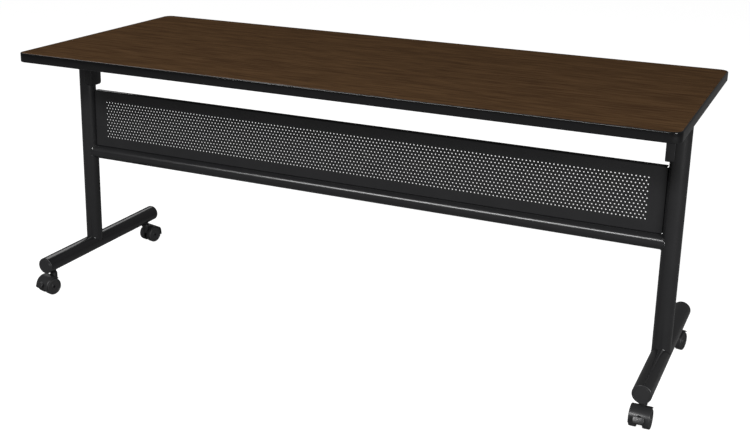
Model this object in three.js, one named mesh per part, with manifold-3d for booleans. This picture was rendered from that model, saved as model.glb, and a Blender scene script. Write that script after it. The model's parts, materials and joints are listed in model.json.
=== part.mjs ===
// Flip top training table: a laminated top that tips up on two T-shaped tube legs with braked casters,
// a cross beam and a perforated modesty panel.
// Millimetres, +Z up. +X runs along the table, -Y is the panel side and +Y the sitter's side.
// The origin is on the floor, under the middle of the top.
import * as THREE from "three";
import { mergeVertices } from "three/addons/utils/BufferGeometryUtils.js";
import Module from "manifold-3d";

const wasm = await Module();
wasm.setup();

// Table as a whole
const TOP_LENGTH = 1829;
const TOP_DEPTH = 762;
const TABLE_HEIGHT = 737;

// Clearances
const SEAT_GAP = 0.3;
const GLUE_LINE = 0.1;
const OVERCUT = 1;

// Top
const TOP_THICKNESS = 26;
const CORNER_RADIUS = 25;
const LAMINATE = 0.8;
const BACKER = 0.8;
const EDGE_BAND = 3;
const TONGUE_DEPTH = 10;
const TONGUE_THICKNESS = 2;

// Legs: column, foot and beam tubes
const COLUMN_END_INSET = 36.5;
const COLUMN_FRONT_INSET = 265;
const LEG_RADIUS = 24;
const TUBE_WALL = 2;
const FOOT_FRONT_INSET = 24;
const FOOT_BACK_INSET = 185;
const FOOT_CAP_FLANGE = 3;
const FOOT_CAP_PLUG = 14;
const FOOT_CAP_CHAMFER = 1.5;
const BEAM_RADIUS = 19.5;
const BEAM_DROP = 321;

// Modesty panel
const PANEL_HEIGHT = 174;
const PANEL_SHEET = 1.5;
const PANEL_FLANGE = 16;
const PANEL_FRONT = 2;
const PANEL_SCREW_INSET = 40;
const PANEL_SCREW_RADIUS = 2.7;
const PANEL_SCREW_HEAD_RADIUS = 5.5;
const PANEL_SCREW_HEAD = 3.5;
const PANEL_SCREW_BITE = 14;
const PANEL_BOSS_RADIUS = 7;

// Flip hinge
const PIVOT_DROP = 40;
const PIVOT_BOLT_RADIUS = 6;
const PIVOT_HEAD_RADIUS = 11;
const PIVOT_HEAD = 6;
const PIVOT_SOCKET_RADIUS = 4;
const PIVOT_SOCKET_DEPTH = 3;
const PIVOT_BOLT_LENGTH = 46;
const BUSH_WALL = 2;
const BUSH_FLANGE = 1;
const BUSH_FLANGE_RADIUS = 12;
const HEAD_BLOCK_ROOT = 9.6;
const HEAD_BLOCK_PROUD = 8.3;
const HEAD_BLOCK_BELOW = 71;
const HEAD_BLOCK_CORNER = 8;
const HEAD_CLEARANCE = 1.5;
const BRACKET_PLATE = 4;
const BRACKET_INNER_REACH = 95;
const BRACKET_OUTER_REACH = 22;
const BRACKET_HALF_DEPTH = 70;
const BRACKET_CORNER = 10;
const WEB_FRONT_ROOT = 40;
const WEB_SHOULDER = 19;
const WEB_SHOULDER_DROP = 12;
const WEB_NOSE = 6;
const WEB_NOSE_DROP = 19;
const STOP_LIP_WIDTH = 20;
const STOP_LIP_OFFSET = 40;
const REST_PAD_WIDTH = 16;
const REST_PAD_NEAR = 3;
const REST_PAD_DEPTH = 9;
const CAP_RISE = 2.5;
const CAP_CROWN_STEP = 1;
const BRACKET_SCREW_RADIUS = 2.5;
const BRACKET_SCREW_HEAD_RADIUS = 5;
const BRACKET_SCREW_HEAD = 3;
const BRACKET_SCREW_BITE = 17;
const BRACKET_SCREW_POINT = 5;
const BRACKET_SCREWS = [
  [84, 56],
  [84, -56],
  [50, -56],
];

// Top lock
const LOCK_OFFSET = 45;
const LOCK_DROP = 12;
const LOCK_PIN_RADIUS = 4;
const LOCK_TRAVEL = 8;
const LOCK_COLLAR_RADIUS = 6.2;
const LOCK_COLLAR = 2;
const LOCK_SPRING_LENGTH = 5.4;
const LOCK_SLEEVE_WALL = 2.4;
const LOCK_SLEEVE_END = 2;
const LOCK_KNOB_RADIUS = 11;
const LOCK_KNOB_END_RADIUS = 8;
const LOCK_KNOB = 14;
const LOCK_KNOB_NECK = 5.5;
const LOCK_KNOB_EDGE = 3;
const LOCK_TIP_CHAMFER = 1;
const LOCK_WING_MARGIN = 16;

// Casters
const CASTER_SETBACK = 36;
const WHEEL_RADIUS = 25;
const WHEEL_WIDTH = 17.5;
const WHEEL_CHAMFER = 3;
const WHEEL_SIDE_GAP = 0.5;
const CASTER_TRAIL = 18;
const HOOD_GAP = 1.6;
const HOOD_WALL = 3;
const HOOD_BACK_ANGLE = -12;
const HOOD_FRONT_ANGLE = 125;
const HOOD_RISE = 12;
const HOOD_WEB = 15;
const HOOD_NECK_HALF = 8.5;
const HOOD_NECK_STEP = 2;
const HOOD_NECK_FOOT = 8;
const HOOD_BOSS_RADIUS = 10.5;
const HOOD_SOCKET_DEPTH = 16;
const AXLE_RADIUS = 4;
const AXLE_INSET = 2;
const AXLE_BOSS_RADIUS = 8.8;
const AXLE_BOSS_START = 162;
const AXLE_BOSS_END = 306;
const STEM_NECK_RADIUS = 4.5;
const STEM_COLLAR_RADIUS = 8;
const STEM_COLLAR = 5.4;
const STEM_GRIP_RADIUS = 5.5;
const STEM_GRIP_LENGTH = 34;
const PEDAL_PIVOT_DEPTH = 3.6;
const PEDAL_PIVOT_ANGLE = 34;
const PEDAL_PIN_RADIUS = 2;
const PEDAL_BARREL_RADIUS = 3.4;
const PEDAL_SLOT_START = 7;
const PEDAL_SLOT_ROOM = 6;
const PEDAL_ARM_WIDTH = 7.6;
const PEDAL_PAD_WIDTH = 26;
const PEDAL_PAD_THICKNESS = 3.5;
const PEDAL_PAD_STANDOFF = 4;
const PEDAL_PAD_TOP_ANGLE = 25;
const PEDAL_PAD_REACH = 8.5;
const PEDAL_PAD_TIP_ANGLE = 1.5;

// Swivel angle of each caster, from +X to the side that its wheels trail on
const SWIVEL = { front_left: -104, front_right: -90, back_left: 76, back_right: -100 };

// Sides of a round piece
const TUBE_SIDES = 24;
const WHEEL_SIDES = 20;
const PIN_SIDES = 12;
const SCREW_SIDES = 8;
const CORNER_STEPS = 4;

// Share of its radius that a rounded bolt or screw head keeps at its face
const HEAD_TAPER = 0.7;

// Points closer than this are one point
const WELD_DISTANCE = 1e-4;

// Places that follow from the sizes above
const HOOD_TOP = 2 * WHEEL_RADIUS + HOOD_RISE;
const FOOT_BOTTOM = HOOD_TOP + STEM_COLLAR + 2 * SEAT_GAP;
const FOOT_AXIS_HEIGHT = FOOT_BOTTOM + LEG_RADIUS;
const COLUMN_X = TOP_LENGTH / 2 - COLUMN_END_INSET;
const COLUMN_Y = -TOP_DEPTH / 2 + COLUMN_FRONT_INSET;
const FOOT_FRONT_REACH = COLUMN_FRONT_INSET - FOOT_FRONT_INSET;
const FOOT_BACK_REACH = TOP_DEPTH - COLUMN_FRONT_INSET - FOOT_BACK_INSET;
const UNDERSIDE = TABLE_HEIGHT - TOP_THICKNESS;
const BEAM_HEIGHT = UNDERSIDE - BEAM_DROP;
const PIVOT_HEIGHT = UNDERSIDE - PIVOT_DROP;
const FLANGE_TOP = UNDERSIDE - SEAT_GAP;
const FLANGE_BOTTOM = FLANGE_TOP - BRACKET_PLATE;
const SWEEP_RADIUS = FLANGE_BOTTOM - PIVOT_HEIGHT;
const COLUMN_RISE = Math.sqrt((SWEEP_RADIUS - HEAD_CLEARANCE) ** 2 - LEG_RADIUS ** 2);
const COLUMN_TOP = PIVOT_HEIGHT + COLUMN_RISE;
const TUBE_BORE = LEG_RADIUS - TUBE_WALL;
const HEAD_FACE = LEG_RADIUS + HEAD_BLOCK_PROUD;
const WEB_FACE = HEAD_FACE + BUSH_FLANGE + 2 * SEAT_GAP;
const WEB_BACK = WEB_FACE + BRACKET_PLATE;
const LOCK_HEIGHT = PIVOT_HEIGHT - LOCK_DROP;
const LOCK_SLEEVE_BORE = LOCK_COLLAR_RADIUS + SEAT_GAP;
const LOCK_COLLAR_REST = WEB_BACK + SEAT_GAP + LOCK_TRAVEL;
const LOCK_SPRING_START = LOCK_COLLAR_REST + LOCK_COLLAR + SEAT_GAP;
const LOCK_CAVITY_END = LOCK_SPRING_START + LOCK_SPRING_LENGTH + SEAT_GAP;
const LOCK_SLEEVE_FACE = LOCK_CAVITY_END + LOCK_SLEEVE_END;
const LOCK_TIP_REST = HEAD_FACE + 3 * SEAT_GAP;
const LOCK_KNOB_REST = LOCK_SLEEVE_FACE + SEAT_GAP + LOCK_TRAVEL;
const PANEL_BOTTOM = BEAM_HEIGHT + BEAM_RADIUS + SEAT_GAP;
const PANEL_TOP = PANEL_BOTTOM + PANEL_HEIGHT;
const PANEL_LENGTH = 2 * (COLUMN_X - LEG_RADIUS - SEAT_GAP);
const PANEL_FLANGE_FACE = LEG_RADIUS + SEAT_GAP;
const PANEL_SCREW_SETBACK = PANEL_FLANGE / 2 - PANEL_FRONT;
const CASTER_WIDTH = HOOD_WEB + 2 * (WHEEL_SIDE_GAP + WHEEL_WIDTH);
const HOOD_INNER = WHEEL_RADIUS + HOOD_GAP;
const HOOD_OUTER = HOOD_INNER + HOOD_WALL;
const PEDAL_PIVOT = polar(HOOD_INNER - PEDAL_PIVOT_DEPTH, PEDAL_PIVOT_ANGLE);
const PEDAL_PAD_TOP = polar(HOOD_OUTER + PEDAL_PAD_STANDOFF, PEDAL_PAD_TOP_ANGLE);
const PEDAL_PAD_TIP = polar(HOOD_OUTER + PEDAL_PAD_REACH, PEDAL_PAD_TIP_ANGLE);
const PANEL_SCREW_HEIGHTS = {
  upper: PANEL_TOP - PANEL_SCREW_INSET,
  lower: PANEL_BOTTOM + PANEL_SCREW_INSET,
};

// A place round a caster's axle, at an angle above the trailing side.
function polar(radius, degrees) {
  const angle = THREE.MathUtils.degToRad(degrees);
  return [CASTER_TRAIL + radius * Math.cos(angle), WHEEL_RADIUS + radius * Math.sin(angle)];
}

// Paint and moulding colours, one material for each mesh
const finish = {
  laminate: { color: 0x43301f, roughness: 0.45, metalness: 0 },
  board: { color: 0x9c7f5c, roughness: 0.9, metalness: 0 },
  backer: { color: 0x241f1b, roughness: 0.7, metalness: 0 },
  edge: { color: 0x17171a, roughness: 0.45, metalness: 0 },
  powderCoat: { color: 0x232325, roughness: 0.5, metalness: 0.3 },
  zinc: { color: 0x8d8f92, roughness: 0.35, metalness: 1 },
  nylon: { color: 0x2c2c2e, roughness: 0.6, metalness: 0 },
  wheel: { color: 0x1c1c1d, roughness: 0.7, metalness: 0 },
};

const X_AXIS = new THREE.Vector3(1, 0, 0);
const Y_AXIS = new THREE.Vector3(0, 1, 0);
const Z_AXIS = new THREE.Vector3(0, 0, 1);

// Turns that lay a drawing's plane across X, or across Y
const ACROSS_X = new THREE.Matrix4().makeBasis(Y_AXIS, Z_AXIS, X_AXIS);
const ACROSS_Y = new THREE.Matrix4().makeBasis(X_AXIS, Z_AXIS, Y_AXIS.clone().negate());

// A closed geometry as a solid that can be joined and cut, with its faces turned out.
function solid(geometry) {
  const bare = new THREE.BufferGeometry();
  bare.setAttribute("position", geometry.getAttribute("position"));
  bare.setIndex(geometry.index);
  const merged = mergeVertices(bare, WELD_DISTANCE);
  const triVerts = new Uint32Array(merged.index.array);
  const vertProperties = merged.getAttribute("position").array;
  const made = new wasm.Manifold(new wasm.Mesh({ numProp: 3, vertProperties, triVerts }));
  if (made.volume() > 0) return made;
  for (let i = 0; i < triVerts.length; i += 3) {
    const second = triVerts[i + 1];
    triVerts[i + 1] = triVerts[i + 2];
    triVerts[i + 2] = second;
  }
  return new wasm.Manifold(new wasm.Mesh({ numProp: 3, vertProperties, triVerts }));
}

function join(...solids) {
  return solids.reduce((whole, piece) => whole.add(piece));
}

function cut(body, ...tools) {
  return tools.reduce((left, tool) => left.subtract(tool), body);
}

function toGeometry(body) {
  const { vertProperties, triVerts, numProp } = body.getMesh();
  const count = vertProperties.length / numProp;
  const flat = new Float32Array(count * 3);
  for (let i = 0; i < count; i += 1) {
    flat.set(vertProperties.subarray(i * numProp, i * numProp + 3), i * 3);
  }
  const geometry = new THREE.BufferGeometry();
  geometry.setAttribute("position", new THREE.BufferAttribute(flat, 3));
  geometry.setIndex(new THREE.BufferAttribute(triVerts, 1));
  geometry.computeVertexNormals();
  return geometry;
}

// One named sub-part.
function part(name, body, look) {
  const mesh = new THREE.Mesh(toGeometry(body), new THREE.MeshStandardMaterial(finish[look]));
  mesh.name = name;
  return mesh;
}

// A box between two corners.
function block([x0, y0, z0], [x1, y1, z1]) {
  const geometry = new THREE.BoxGeometry(x1 - x0, y1 - y0, z1 - z0);
  return solid(geometry.translate((x0 + x1) / 2, (y0 + y1) / 2, (z0 + z1) / 2));
}

// A round bar along an axis, from one place on it to another, with its middle line at the given point.
function bar(axis, radius, from, to, [a, b] = [0, 0], sides = TUBE_SIDES) {
  const geometry = new THREE.CylinderGeometry(radius, radius, to - from, sides);
  const middle = (from + to) / 2;
  if (axis === "x") return solid(geometry.rotateZ(-Math.PI / 2).translate(middle, a, b));
  if (axis === "y") return solid(geometry.translate(a, middle, b));
  return solid(geometry.rotateX(Math.PI / 2).translate(a, b, middle));
}

// A turned piece along an axis. The outline is a list of [radius, place on the axis].
function turned(axis, outline, [a, b] = [0, 0], sides = PIN_SIDES) {
  const points = outline.map(([radius, place]) => new THREE.Vector2(radius, place));
  const geometry = new THREE.LatheGeometry(points, sides);
  if (axis === "x") return solid(geometry.rotateZ(-Math.PI / 2).translate(0, a, b));
  if (axis === "y") return solid(geometry.translate(a, 0, b));
  return solid(geometry.rotateX(Math.PI / 2).translate(a, b, 0));
}

// A turned piece with a bore, whose outline closes on itself.
function turnedRing(axis, outline, at, sides) {
  return turned(axis, [...outline, outline[0]], at, sides);
}

// A drawing in the plane of Y and Z, given its thickness along X.
function slabAcrossX(shape, from, to) {
  const geometry = new THREE.ExtrudeGeometry(shape, {
    depth: to - from,
    bevelEnabled: false,
    curveSegments: CORNER_STEPS,
  });
  return solid(geometry.applyMatrix4(ACROSS_X).translate(from, 0, 0));
}

// A drawing in the plane of X and Z, given its width along Y about the middle.
function slabAcrossY(shape, width) {
  const geometry = new THREE.ExtrudeGeometry(shape, {
    depth: width,
    bevelEnabled: false,
    curveSegments: CORNER_STEPS,
  });
  return solid(geometry.applyMatrix4(ACROSS_Y).translate(0, width / 2, 0));
}

// A drawing in the plane of X and Y, given its height along Z.
function slabAcrossZ(shape, from, to) {
  const geometry = new THREE.ExtrudeGeometry(shape, {
    depth: to - from,
    bevelEnabled: false,
    curveSegments: CORNER_STEPS,
  });
  return solid(geometry.translate(0, 0, from));
}

// A rectangle with round corners, drawn on a shape or a hole.
function roundedRectangle(path, x0, y0, x1, y1, radius) {
  path.moveTo(x0 + radius, y0);
  path.lineTo(x1 - radius, y0);
  path.absarc(x1 - radius, y0 + radius, radius, -Math.PI / 2, 0);
  path.lineTo(x1, y1 - radius);
  path.absarc(x1 - radius, y1 - radius, radius, 0, Math.PI / 2);
  path.lineTo(x0 + radius, y1);
  path.absarc(x0 + radius, y1 - radius, radius, Math.PI / 2, Math.PI);
  path.lineTo(x0, y0 + radius);
  path.absarc(x0 + radius, y0 + radius, radius, Math.PI, Math.PI * 1.5);
  return path;
}

// The top's outline, drawn in from its edge.
function topOutline(path, inset) {
  const x = TOP_LENGTH / 2 - inset;
  const y = TOP_DEPTH / 2 - inset;
  return roundedRectangle(path, -x, -y, x, y, Math.max(CORNER_RADIUS - inset, EDGE_BAND));
}

function topSlab(inset, from, to) {
  return slabAcrossZ(topOutline(new THREE.Shape(), inset), from, to);
}

// A frame that runs round the top between two insets.
function topFrame(outerInset, innerInset, from, to) {
  const shape = topOutline(new THREE.Shape(), outerInset);
  shape.holes.push(topOutline(new THREE.Path(), innerInset));
  return slabAcrossZ(shape, from, to);
}

// Where the bracket screws stand in the table's own frame, on both sides.
function bracketScrewPlaces() {
  return [-1, 1].flatMap((side) =>
    BRACKET_SCREWS.map(([inward, along]) => [side * (COLUMN_X - inward), COLUMN_Y + along]),
  );
}

function top() {
  const group = new THREE.Group();
  const insetOfCore = EDGE_BAND + SEAT_GAP;
  const coreTop = TABLE_HEIGHT - LAMINATE - GLUE_LINE;
  const coreBottom = UNDERSIDE + BACKER + GLUE_LINE;
  const tongueMiddle = (TABLE_HEIGHT + UNDERSIDE) / 2;
  const tongueTip = EDGE_BAND + TONGUE_DEPTH;
  const grooveHalf = TONGUE_THICKNESS / 2 + SEAT_GAP;
  const screwHole = BRACKET_SCREW_RADIUS + SEAT_GAP;
  const screwTip = FLANGE_TOP + BRACKET_SCREW_BITE;

  const holes = bracketScrewPlaces().map((at) =>
    bar("z", screwHole, UNDERSIDE - OVERCUT, screwTip + SEAT_GAP, at, SCREW_SIDES),
  );
  const grooveTip = tongueTip + SEAT_GAP;
  const groove = topFrame(0, grooveTip, tongueMiddle - grooveHalf, tongueMiddle + grooveHalf);
  const core = cut(topSlab(insetOfCore, coreBottom, coreTop), groove, ...holes);
  group.add(part("top_core", core, "board"));

  const laminate = topSlab(insetOfCore, TABLE_HEIGHT - LAMINATE, TABLE_HEIGHT);
  group.add(part("top_laminate", laminate, "laminate"));

  const backer = cut(topSlab(insetOfCore, UNDERSIDE, UNDERSIDE + BACKER), ...holes);
  group.add(part("underside_backer", backer, "backer"));

  const tongueHalf = TONGUE_THICKNESS / 2;
  const band = join(
    topFrame(0, EDGE_BAND, UNDERSIDE, TABLE_HEIGHT),
    topFrame(EDGE_BAND / 2, tongueTip, tongueMiddle - tongueHalf, tongueMiddle + tongueHalf),
  );
  group.add(part("edge_band", band, "edge"));
  return group;
}

// The pieces of one leg stand in a frame whose +X points from the column to the table's middle.
// The head block carries the pivot, and its wing the hole that the lock pin enters.
function headBlockShape() {
  const shape = new THREE.Shape();
  const low = PIVOT_HEIGHT - HEAD_BLOCK_BELOW;
  const corner = HEAD_BLOCK_CORNER;
  const wingEnd = LOCK_OFFSET + LOCK_WING_MARGIN;
  const wingLow = LOCK_HEIGHT - LOCK_WING_MARGIN;
  const wingHigh = LOCK_HEIGHT + LOCK_WING_MARGIN;
  shape.moveTo(-LEG_RADIUS + corner, low);
  shape.lineTo(LEG_RADIUS - corner, low);
  shape.absarc(LEG_RADIUS - corner, low + corner, corner, -Math.PI / 2, 0);
  shape.lineTo(LEG_RADIUS, wingLow);
  shape.lineTo(wingEnd - corner, wingLow);
  shape.absarc(wingEnd - corner, wingLow + corner, corner, -Math.PI / 2, 0);
  shape.lineTo(wingEnd, wingHigh - corner);
  shape.absarc(wingEnd - corner, wingHigh - corner, corner, 0, Math.PI / 2);
  shape.lineTo(LEG_RADIUS, wingHigh);
  shape.lineTo(LEG_RADIUS, COLUMN_TOP);
  shape.lineTo(-LEG_RADIUS, COLUMN_TOP);
  shape.lineTo(-LEG_RADIUS, low + corner);
  shape.absarc(-LEG_RADIUS + corner, low + corner, corner, Math.PI, Math.PI * 1.5);
  return shape;
}

function column(side) {
  const reach = LEG_RADIUS * 2;
  const saddle = bar("y", LEG_RADIUS + SEAT_GAP, -reach, reach, [0, FOOT_AXIS_HEIGHT]);
  const tube = bar("z", LEG_RADIUS, FOOT_AXIS_HEIGHT, COLUMN_TOP);
  const bore = bar("z", TUBE_BORE, FOOT_AXIS_HEIGHT - OVERCUT, COLUMN_TOP + OVERCUT);
  const head = slabAcrossX(headBlockShape(), HEAD_BLOCK_ROOT, HEAD_FACE);
  const screwHeights = Object.values(PANEL_SCREW_HEIGHTS);
  const screwRoom = PANEL_SCREW_RADIUS + SEAT_GAP;
  const bosses = screwHeights.map((height) =>
    bar("x", PANEL_BOSS_RADIUS, 0, LEG_RADIUS, [PANEL_SCREW_SETBACK, height], PIN_SIDES),
  );
  const screwHoles = screwHeights.map((height) =>
    bar("x", screwRoom, 0, LEG_RADIUS + OVERCUT, [PANEL_SCREW_SETBACK, height], SCREW_SIDES),
  );
  const holeEnd = HEAD_FACE + OVERCUT;
  const pivotHole = bar("x", PIVOT_BOLT_RADIUS + SEAT_GAP, 0, holeEnd, [0, PIVOT_HEIGHT], PIN_SIDES);
  const lockAt = [LOCK_OFFSET, LOCK_HEIGHT];
  const lockHole = bar("x", LOCK_PIN_RADIUS + 2 * SEAT_GAP, 0, holeEnd, lockAt, PIN_SIDES);
  const body = cut(join(tube, head, ...bosses), bore, saddle, pivotHole, lockHole, ...screwHoles);
  return part(`column_${side}`, body, "powderCoat");
}

// The cap's plug ends over the pivot bolt, and its pad is what the top rests on.
function columnCap(side) {
  const seat = COLUMN_TOP + SEAT_GAP;
  const crown = seat + CAP_RISE;
  const plugBottom = PIVOT_HEIGHT + PIVOT_BOLT_RADIUS + 2 * SEAT_GAP;
  const edgeReach = SWEEP_RADIUS - HEAD_CLEARANCE / 2;
  const crownRoom = Math.sqrt(edgeReach ** 2 - (crown - PIVOT_HEIGHT) ** 2);
  const cap = turned(
    "z",
    [
      [0, plugBottom],
      [TUBE_BORE - SEAT_GAP, plugBottom],
      [TUBE_BORE - SEAT_GAP, seat],
      [LEG_RADIUS, seat],
      [Math.min(crownRoom, LEG_RADIUS - CAP_CROWN_STEP), crown],
      [0, crown],
    ],
    [0, 0],
    TUBE_SIDES,
  );
  const pad = block(
    [-REST_PAD_WIDTH / 2, REST_PAD_NEAR, seat + CAP_RISE / 2],
    [REST_PAD_WIDTH / 2, REST_PAD_NEAR + REST_PAD_DEPTH, FLANGE_BOTTOM - SEAT_GAP],
  );
  return part(`column_cap_${side}`, join(cap, pad), "nylon");
}

function pivotBolt(side) {
  const headStart = WEB_BACK + SEAT_GAP;
  const headEnd = headStart + PIVOT_HEAD;
  const bolt = turned(
    "x",
    [
      [0, headStart - PIVOT_BOLT_LENGTH],
      [PIVOT_BOLT_RADIUS, headStart - PIVOT_BOLT_LENGTH],
      [PIVOT_BOLT_RADIUS, headStart],
      [PIVOT_HEAD_RADIUS, headStart],
      [PIVOT_HEAD_RADIUS, headStart + PIVOT_HEAD / 2],
      [PIVOT_HEAD_RADIUS * HEAD_TAPER, headEnd],
      [PIVOT_SOCKET_RADIUS, headEnd],
      [PIVOT_SOCKET_RADIUS, headEnd - PIVOT_SOCKET_DEPTH],
      [0, headEnd - PIVOT_SOCKET_DEPTH],
    ],
    [0, PIVOT_HEIGHT],
  );
  return part(`pivot_bolt_${side}`, bolt, "zinc");
}

function pivotBush(side) {
  const bore = PIVOT_BOLT_RADIUS + SEAT_GAP;
  const flangeStart = HEAD_FACE + SEAT_GAP;
  const flangeEnd = flangeStart + BUSH_FLANGE;
  const bush = turnedRing(
    "x",
    [
      [bore, flangeStart],
      [BUSH_FLANGE_RADIUS, flangeStart],
      [BUSH_FLANGE_RADIUS, flangeEnd],
      [bore + BUSH_WALL, flangeEnd],
      [bore + BUSH_WALL, WEB_BACK],
      [bore, WEB_BACK],
    ],
    [0, PIVOT_HEIGHT],
    PIN_SIDES,
  );
  return part(`pivot_bush_${side}`, bush, "nylon");
}

// The web's outline hangs from the bracket's plate round the pivot and the lock.
function bracketWebShape() {
  const shape = new THREE.Shape();
  shape.moveTo(-WEB_FRONT_ROOT, FLANGE_TOP);
  shape.lineTo(-WEB_SHOULDER, PIVOT_HEIGHT - WEB_SHOULDER_DROP);
  shape.lineTo(-WEB_NOSE, PIVOT_HEIGHT - WEB_NOSE_DROP);
  shape.lineTo(LOCK_OFFSET, LOCK_HEIGHT - LOCK_WING_MARGIN);
  shape.absarc(LOCK_OFFSET, LOCK_HEIGHT, LOCK_WING_MARGIN, -Math.PI / 2, 0);
  shape.lineTo(LOCK_OFFSET + LOCK_WING_MARGIN, FLANGE_TOP);
  return shape;
}

function hingeBracket(side) {
  const plate = slabAcrossZ(
    roundedRectangle(
      new THREE.Shape(),
      -BRACKET_OUTER_REACH,
      -BRACKET_HALF_DEPTH,
      BRACKET_INNER_REACH,
      BRACKET_HALF_DEPTH,
      BRACKET_CORNER,
    ),
    FLANGE_BOTTOM,
    FLANGE_TOP,
  );
  const web = slabAcrossX(bracketWebShape(), WEB_FACE, WEB_BACK);
  const lip = block(
    [-STOP_LIP_WIDTH / 2, -STOP_LIP_OFFSET - BRACKET_PLATE, PIVOT_HEIGHT + LEG_RADIUS + SEAT_GAP],
    [STOP_LIP_WIDTH / 2, -STOP_LIP_OFFSET, FLANGE_TOP],
  );
  const lockAt = [LOCK_OFFSET, LOCK_HEIGHT];
  const sleeveRadius = LOCK_SLEEVE_BORE + LOCK_SLEEVE_WALL;
  const sleeve = bar("x", sleeveRadius, WEB_FACE + OVERCUT, LOCK_SLEEVE_FACE, lockAt, PIN_SIDES);
  const cavity = bar("x", LOCK_SLEEVE_BORE, WEB_BACK, LOCK_CAVITY_END, lockAt, PIN_SIDES);
  const pinRoom = LOCK_PIN_RADIUS + SEAT_GAP;
  const pinHole = bar("x", pinRoom, 0, LOCK_SLEEVE_FACE + OVERCUT, lockAt, PIN_SIDES);
  const bushRoom = PIVOT_BOLT_RADIUS + BUSH_WALL + 2 * SEAT_GAP;
  const bushHole = bar("x", bushRoom, 0, WEB_BACK + OVERCUT, [0, PIVOT_HEIGHT], PIN_SIDES);
  const screwRoom = BRACKET_SCREW_RADIUS + SEAT_GAP;
  const screwHoles = BRACKET_SCREWS.map((at) =>
    bar("z", screwRoom, FLANGE_BOTTOM - OVERCUT, FLANGE_TOP + OVERCUT, at, SCREW_SIDES),
  );
  const body = cut(join(plate, web, lip, sleeve), cavity, pinHole, bushHole, ...screwHoles);
  return part(`hinge_bracket_${side}`, body, "powderCoat");
}

function bracketScrew(side, number, at) {
  const under = FLANGE_BOTTOM - SEAT_GAP;
  const tip = FLANGE_TOP + BRACKET_SCREW_BITE;
  const screw = turned(
    "z",
    [
      [0, under - BRACKET_SCREW_HEAD],
      [BRACKET_SCREW_HEAD_RADIUS * HEAD_TAPER, under - BRACKET_SCREW_HEAD],
      [BRACKET_SCREW_HEAD_RADIUS, under],
      [BRACKET_SCREW_RADIUS, under],
      [BRACKET_SCREW_RADIUS, tip - BRACKET_SCREW_POINT],
      [0, tip],
    ],
    at,
    SCREW_SIDES,
  );
  return part(`bracket_screw_${side}_${number}`, screw, "zinc");
}

function lockPin(side) {
  const collarEnd = LOCK_COLLAR_REST + LOCK_COLLAR;
  const knobEnd = LOCK_KNOB_REST + LOCK_KNOB;
  const pin = turned(
    "x",
    [
      [0, LOCK_TIP_REST],
      [LOCK_PIN_RADIUS - LOCK_TIP_CHAMFER, LOCK_TIP_REST],
      [LOCK_PIN_RADIUS, LOCK_TIP_REST + LOCK_TIP_CHAMFER],
      [LOCK_PIN_RADIUS, LOCK_COLLAR_REST],
      [LOCK_COLLAR_RADIUS, LOCK_COLLAR_REST],
      [LOCK_COLLAR_RADIUS, collarEnd],
      [LOCK_PIN_RADIUS, collarEnd],
      [LOCK_PIN_RADIUS, LOCK_KNOB_REST],
      [LOCK_KNOB_END_RADIUS, LOCK_KNOB_REST],
      [LOCK_KNOB_RADIUS, LOCK_KNOB_REST + LOCK_KNOB_NECK],
      [LOCK_KNOB_RADIUS, knobEnd - LOCK_KNOB_EDGE],
      [LOCK_KNOB_END_RADIUS, knobEnd],
      [0, knobEnd],
    ],
    [LOCK_OFFSET, LOCK_HEIGHT],
  );
  return part(`lock_pin_${side}`, pin, "nylon");
}

function lockSpring(side) {
  const end = LOCK_SPRING_START + LOCK_SPRING_LENGTH;
  const inner = LOCK_PIN_RADIUS + SEAT_GAP;
  const spring = turnedRing(
    "x",
    [
      [inner, LOCK_SPRING_START],
      [LOCK_COLLAR_RADIUS, LOCK_SPRING_START],
      [LOCK_COLLAR_RADIUS, end],
      [inner, end],
    ],
    [LOCK_OFFSET, LOCK_HEIGHT],
    PIN_SIDES,
  );
  return part(`lock_spring_${side}`, spring, "zinc");
}

function foot(side) {
  const from = -FOOT_FRONT_REACH + FOOT_CAP_FLANGE;
  const to = FOOT_BACK_REACH - FOOT_CAP_FLANGE;
  const at = [0, FOOT_AXIS_HEIGHT];
  const tube = bar("y", LEG_RADIUS, from, to, at);
  const bore = bar("y", TUBE_BORE, from - OVERCUT, to + OVERCUT, at);
  const stemPlaces = [CASTER_SETBACK - FOOT_FRONT_REACH, FOOT_BACK_REACH - CASTER_SETBACK];
  const stemRoom = STEM_GRIP_RADIUS + SEAT_GAP;
  const stemHoles = stemPlaces.map((y) =>
    bar("z", stemRoom, FOOT_BOTTOM - OVERCUT, FOOT_AXIS_HEIGHT, [0, y], PIN_SIDES),
  );
  return part(`foot_${side}`, cut(tube, bore, ...stemHoles), "powderCoat");
}

// A plug cap on a foot's end. Its direction is -1 at the front and 1 at the back.
function footCap(side, end, direction, reach) {
  const seat = reach - FOOT_CAP_FLANGE + SEAT_GAP;
  const plugRadius = TUBE_BORE - SEAT_GAP;
  const outline = [
    [0, seat - FOOT_CAP_PLUG],
    [plugRadius, seat - FOOT_CAP_PLUG],
    [plugRadius, seat],
    [LEG_RADIUS, seat],
    [LEG_RADIUS, reach - FOOT_CAP_CHAMFER],
    [LEG_RADIUS - FOOT_CAP_CHAMFER, reach],
    [0, reach],
  ];
  const placed = outline.map(([radius, place]) => [radius, place * direction]);
  const cap = turned("y", placed, [0, FOOT_AXIS_HEIGHT], TUBE_SIDES);
  return part(`foot_cap_${end}_${side}`, cap, "nylon");
}

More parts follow.
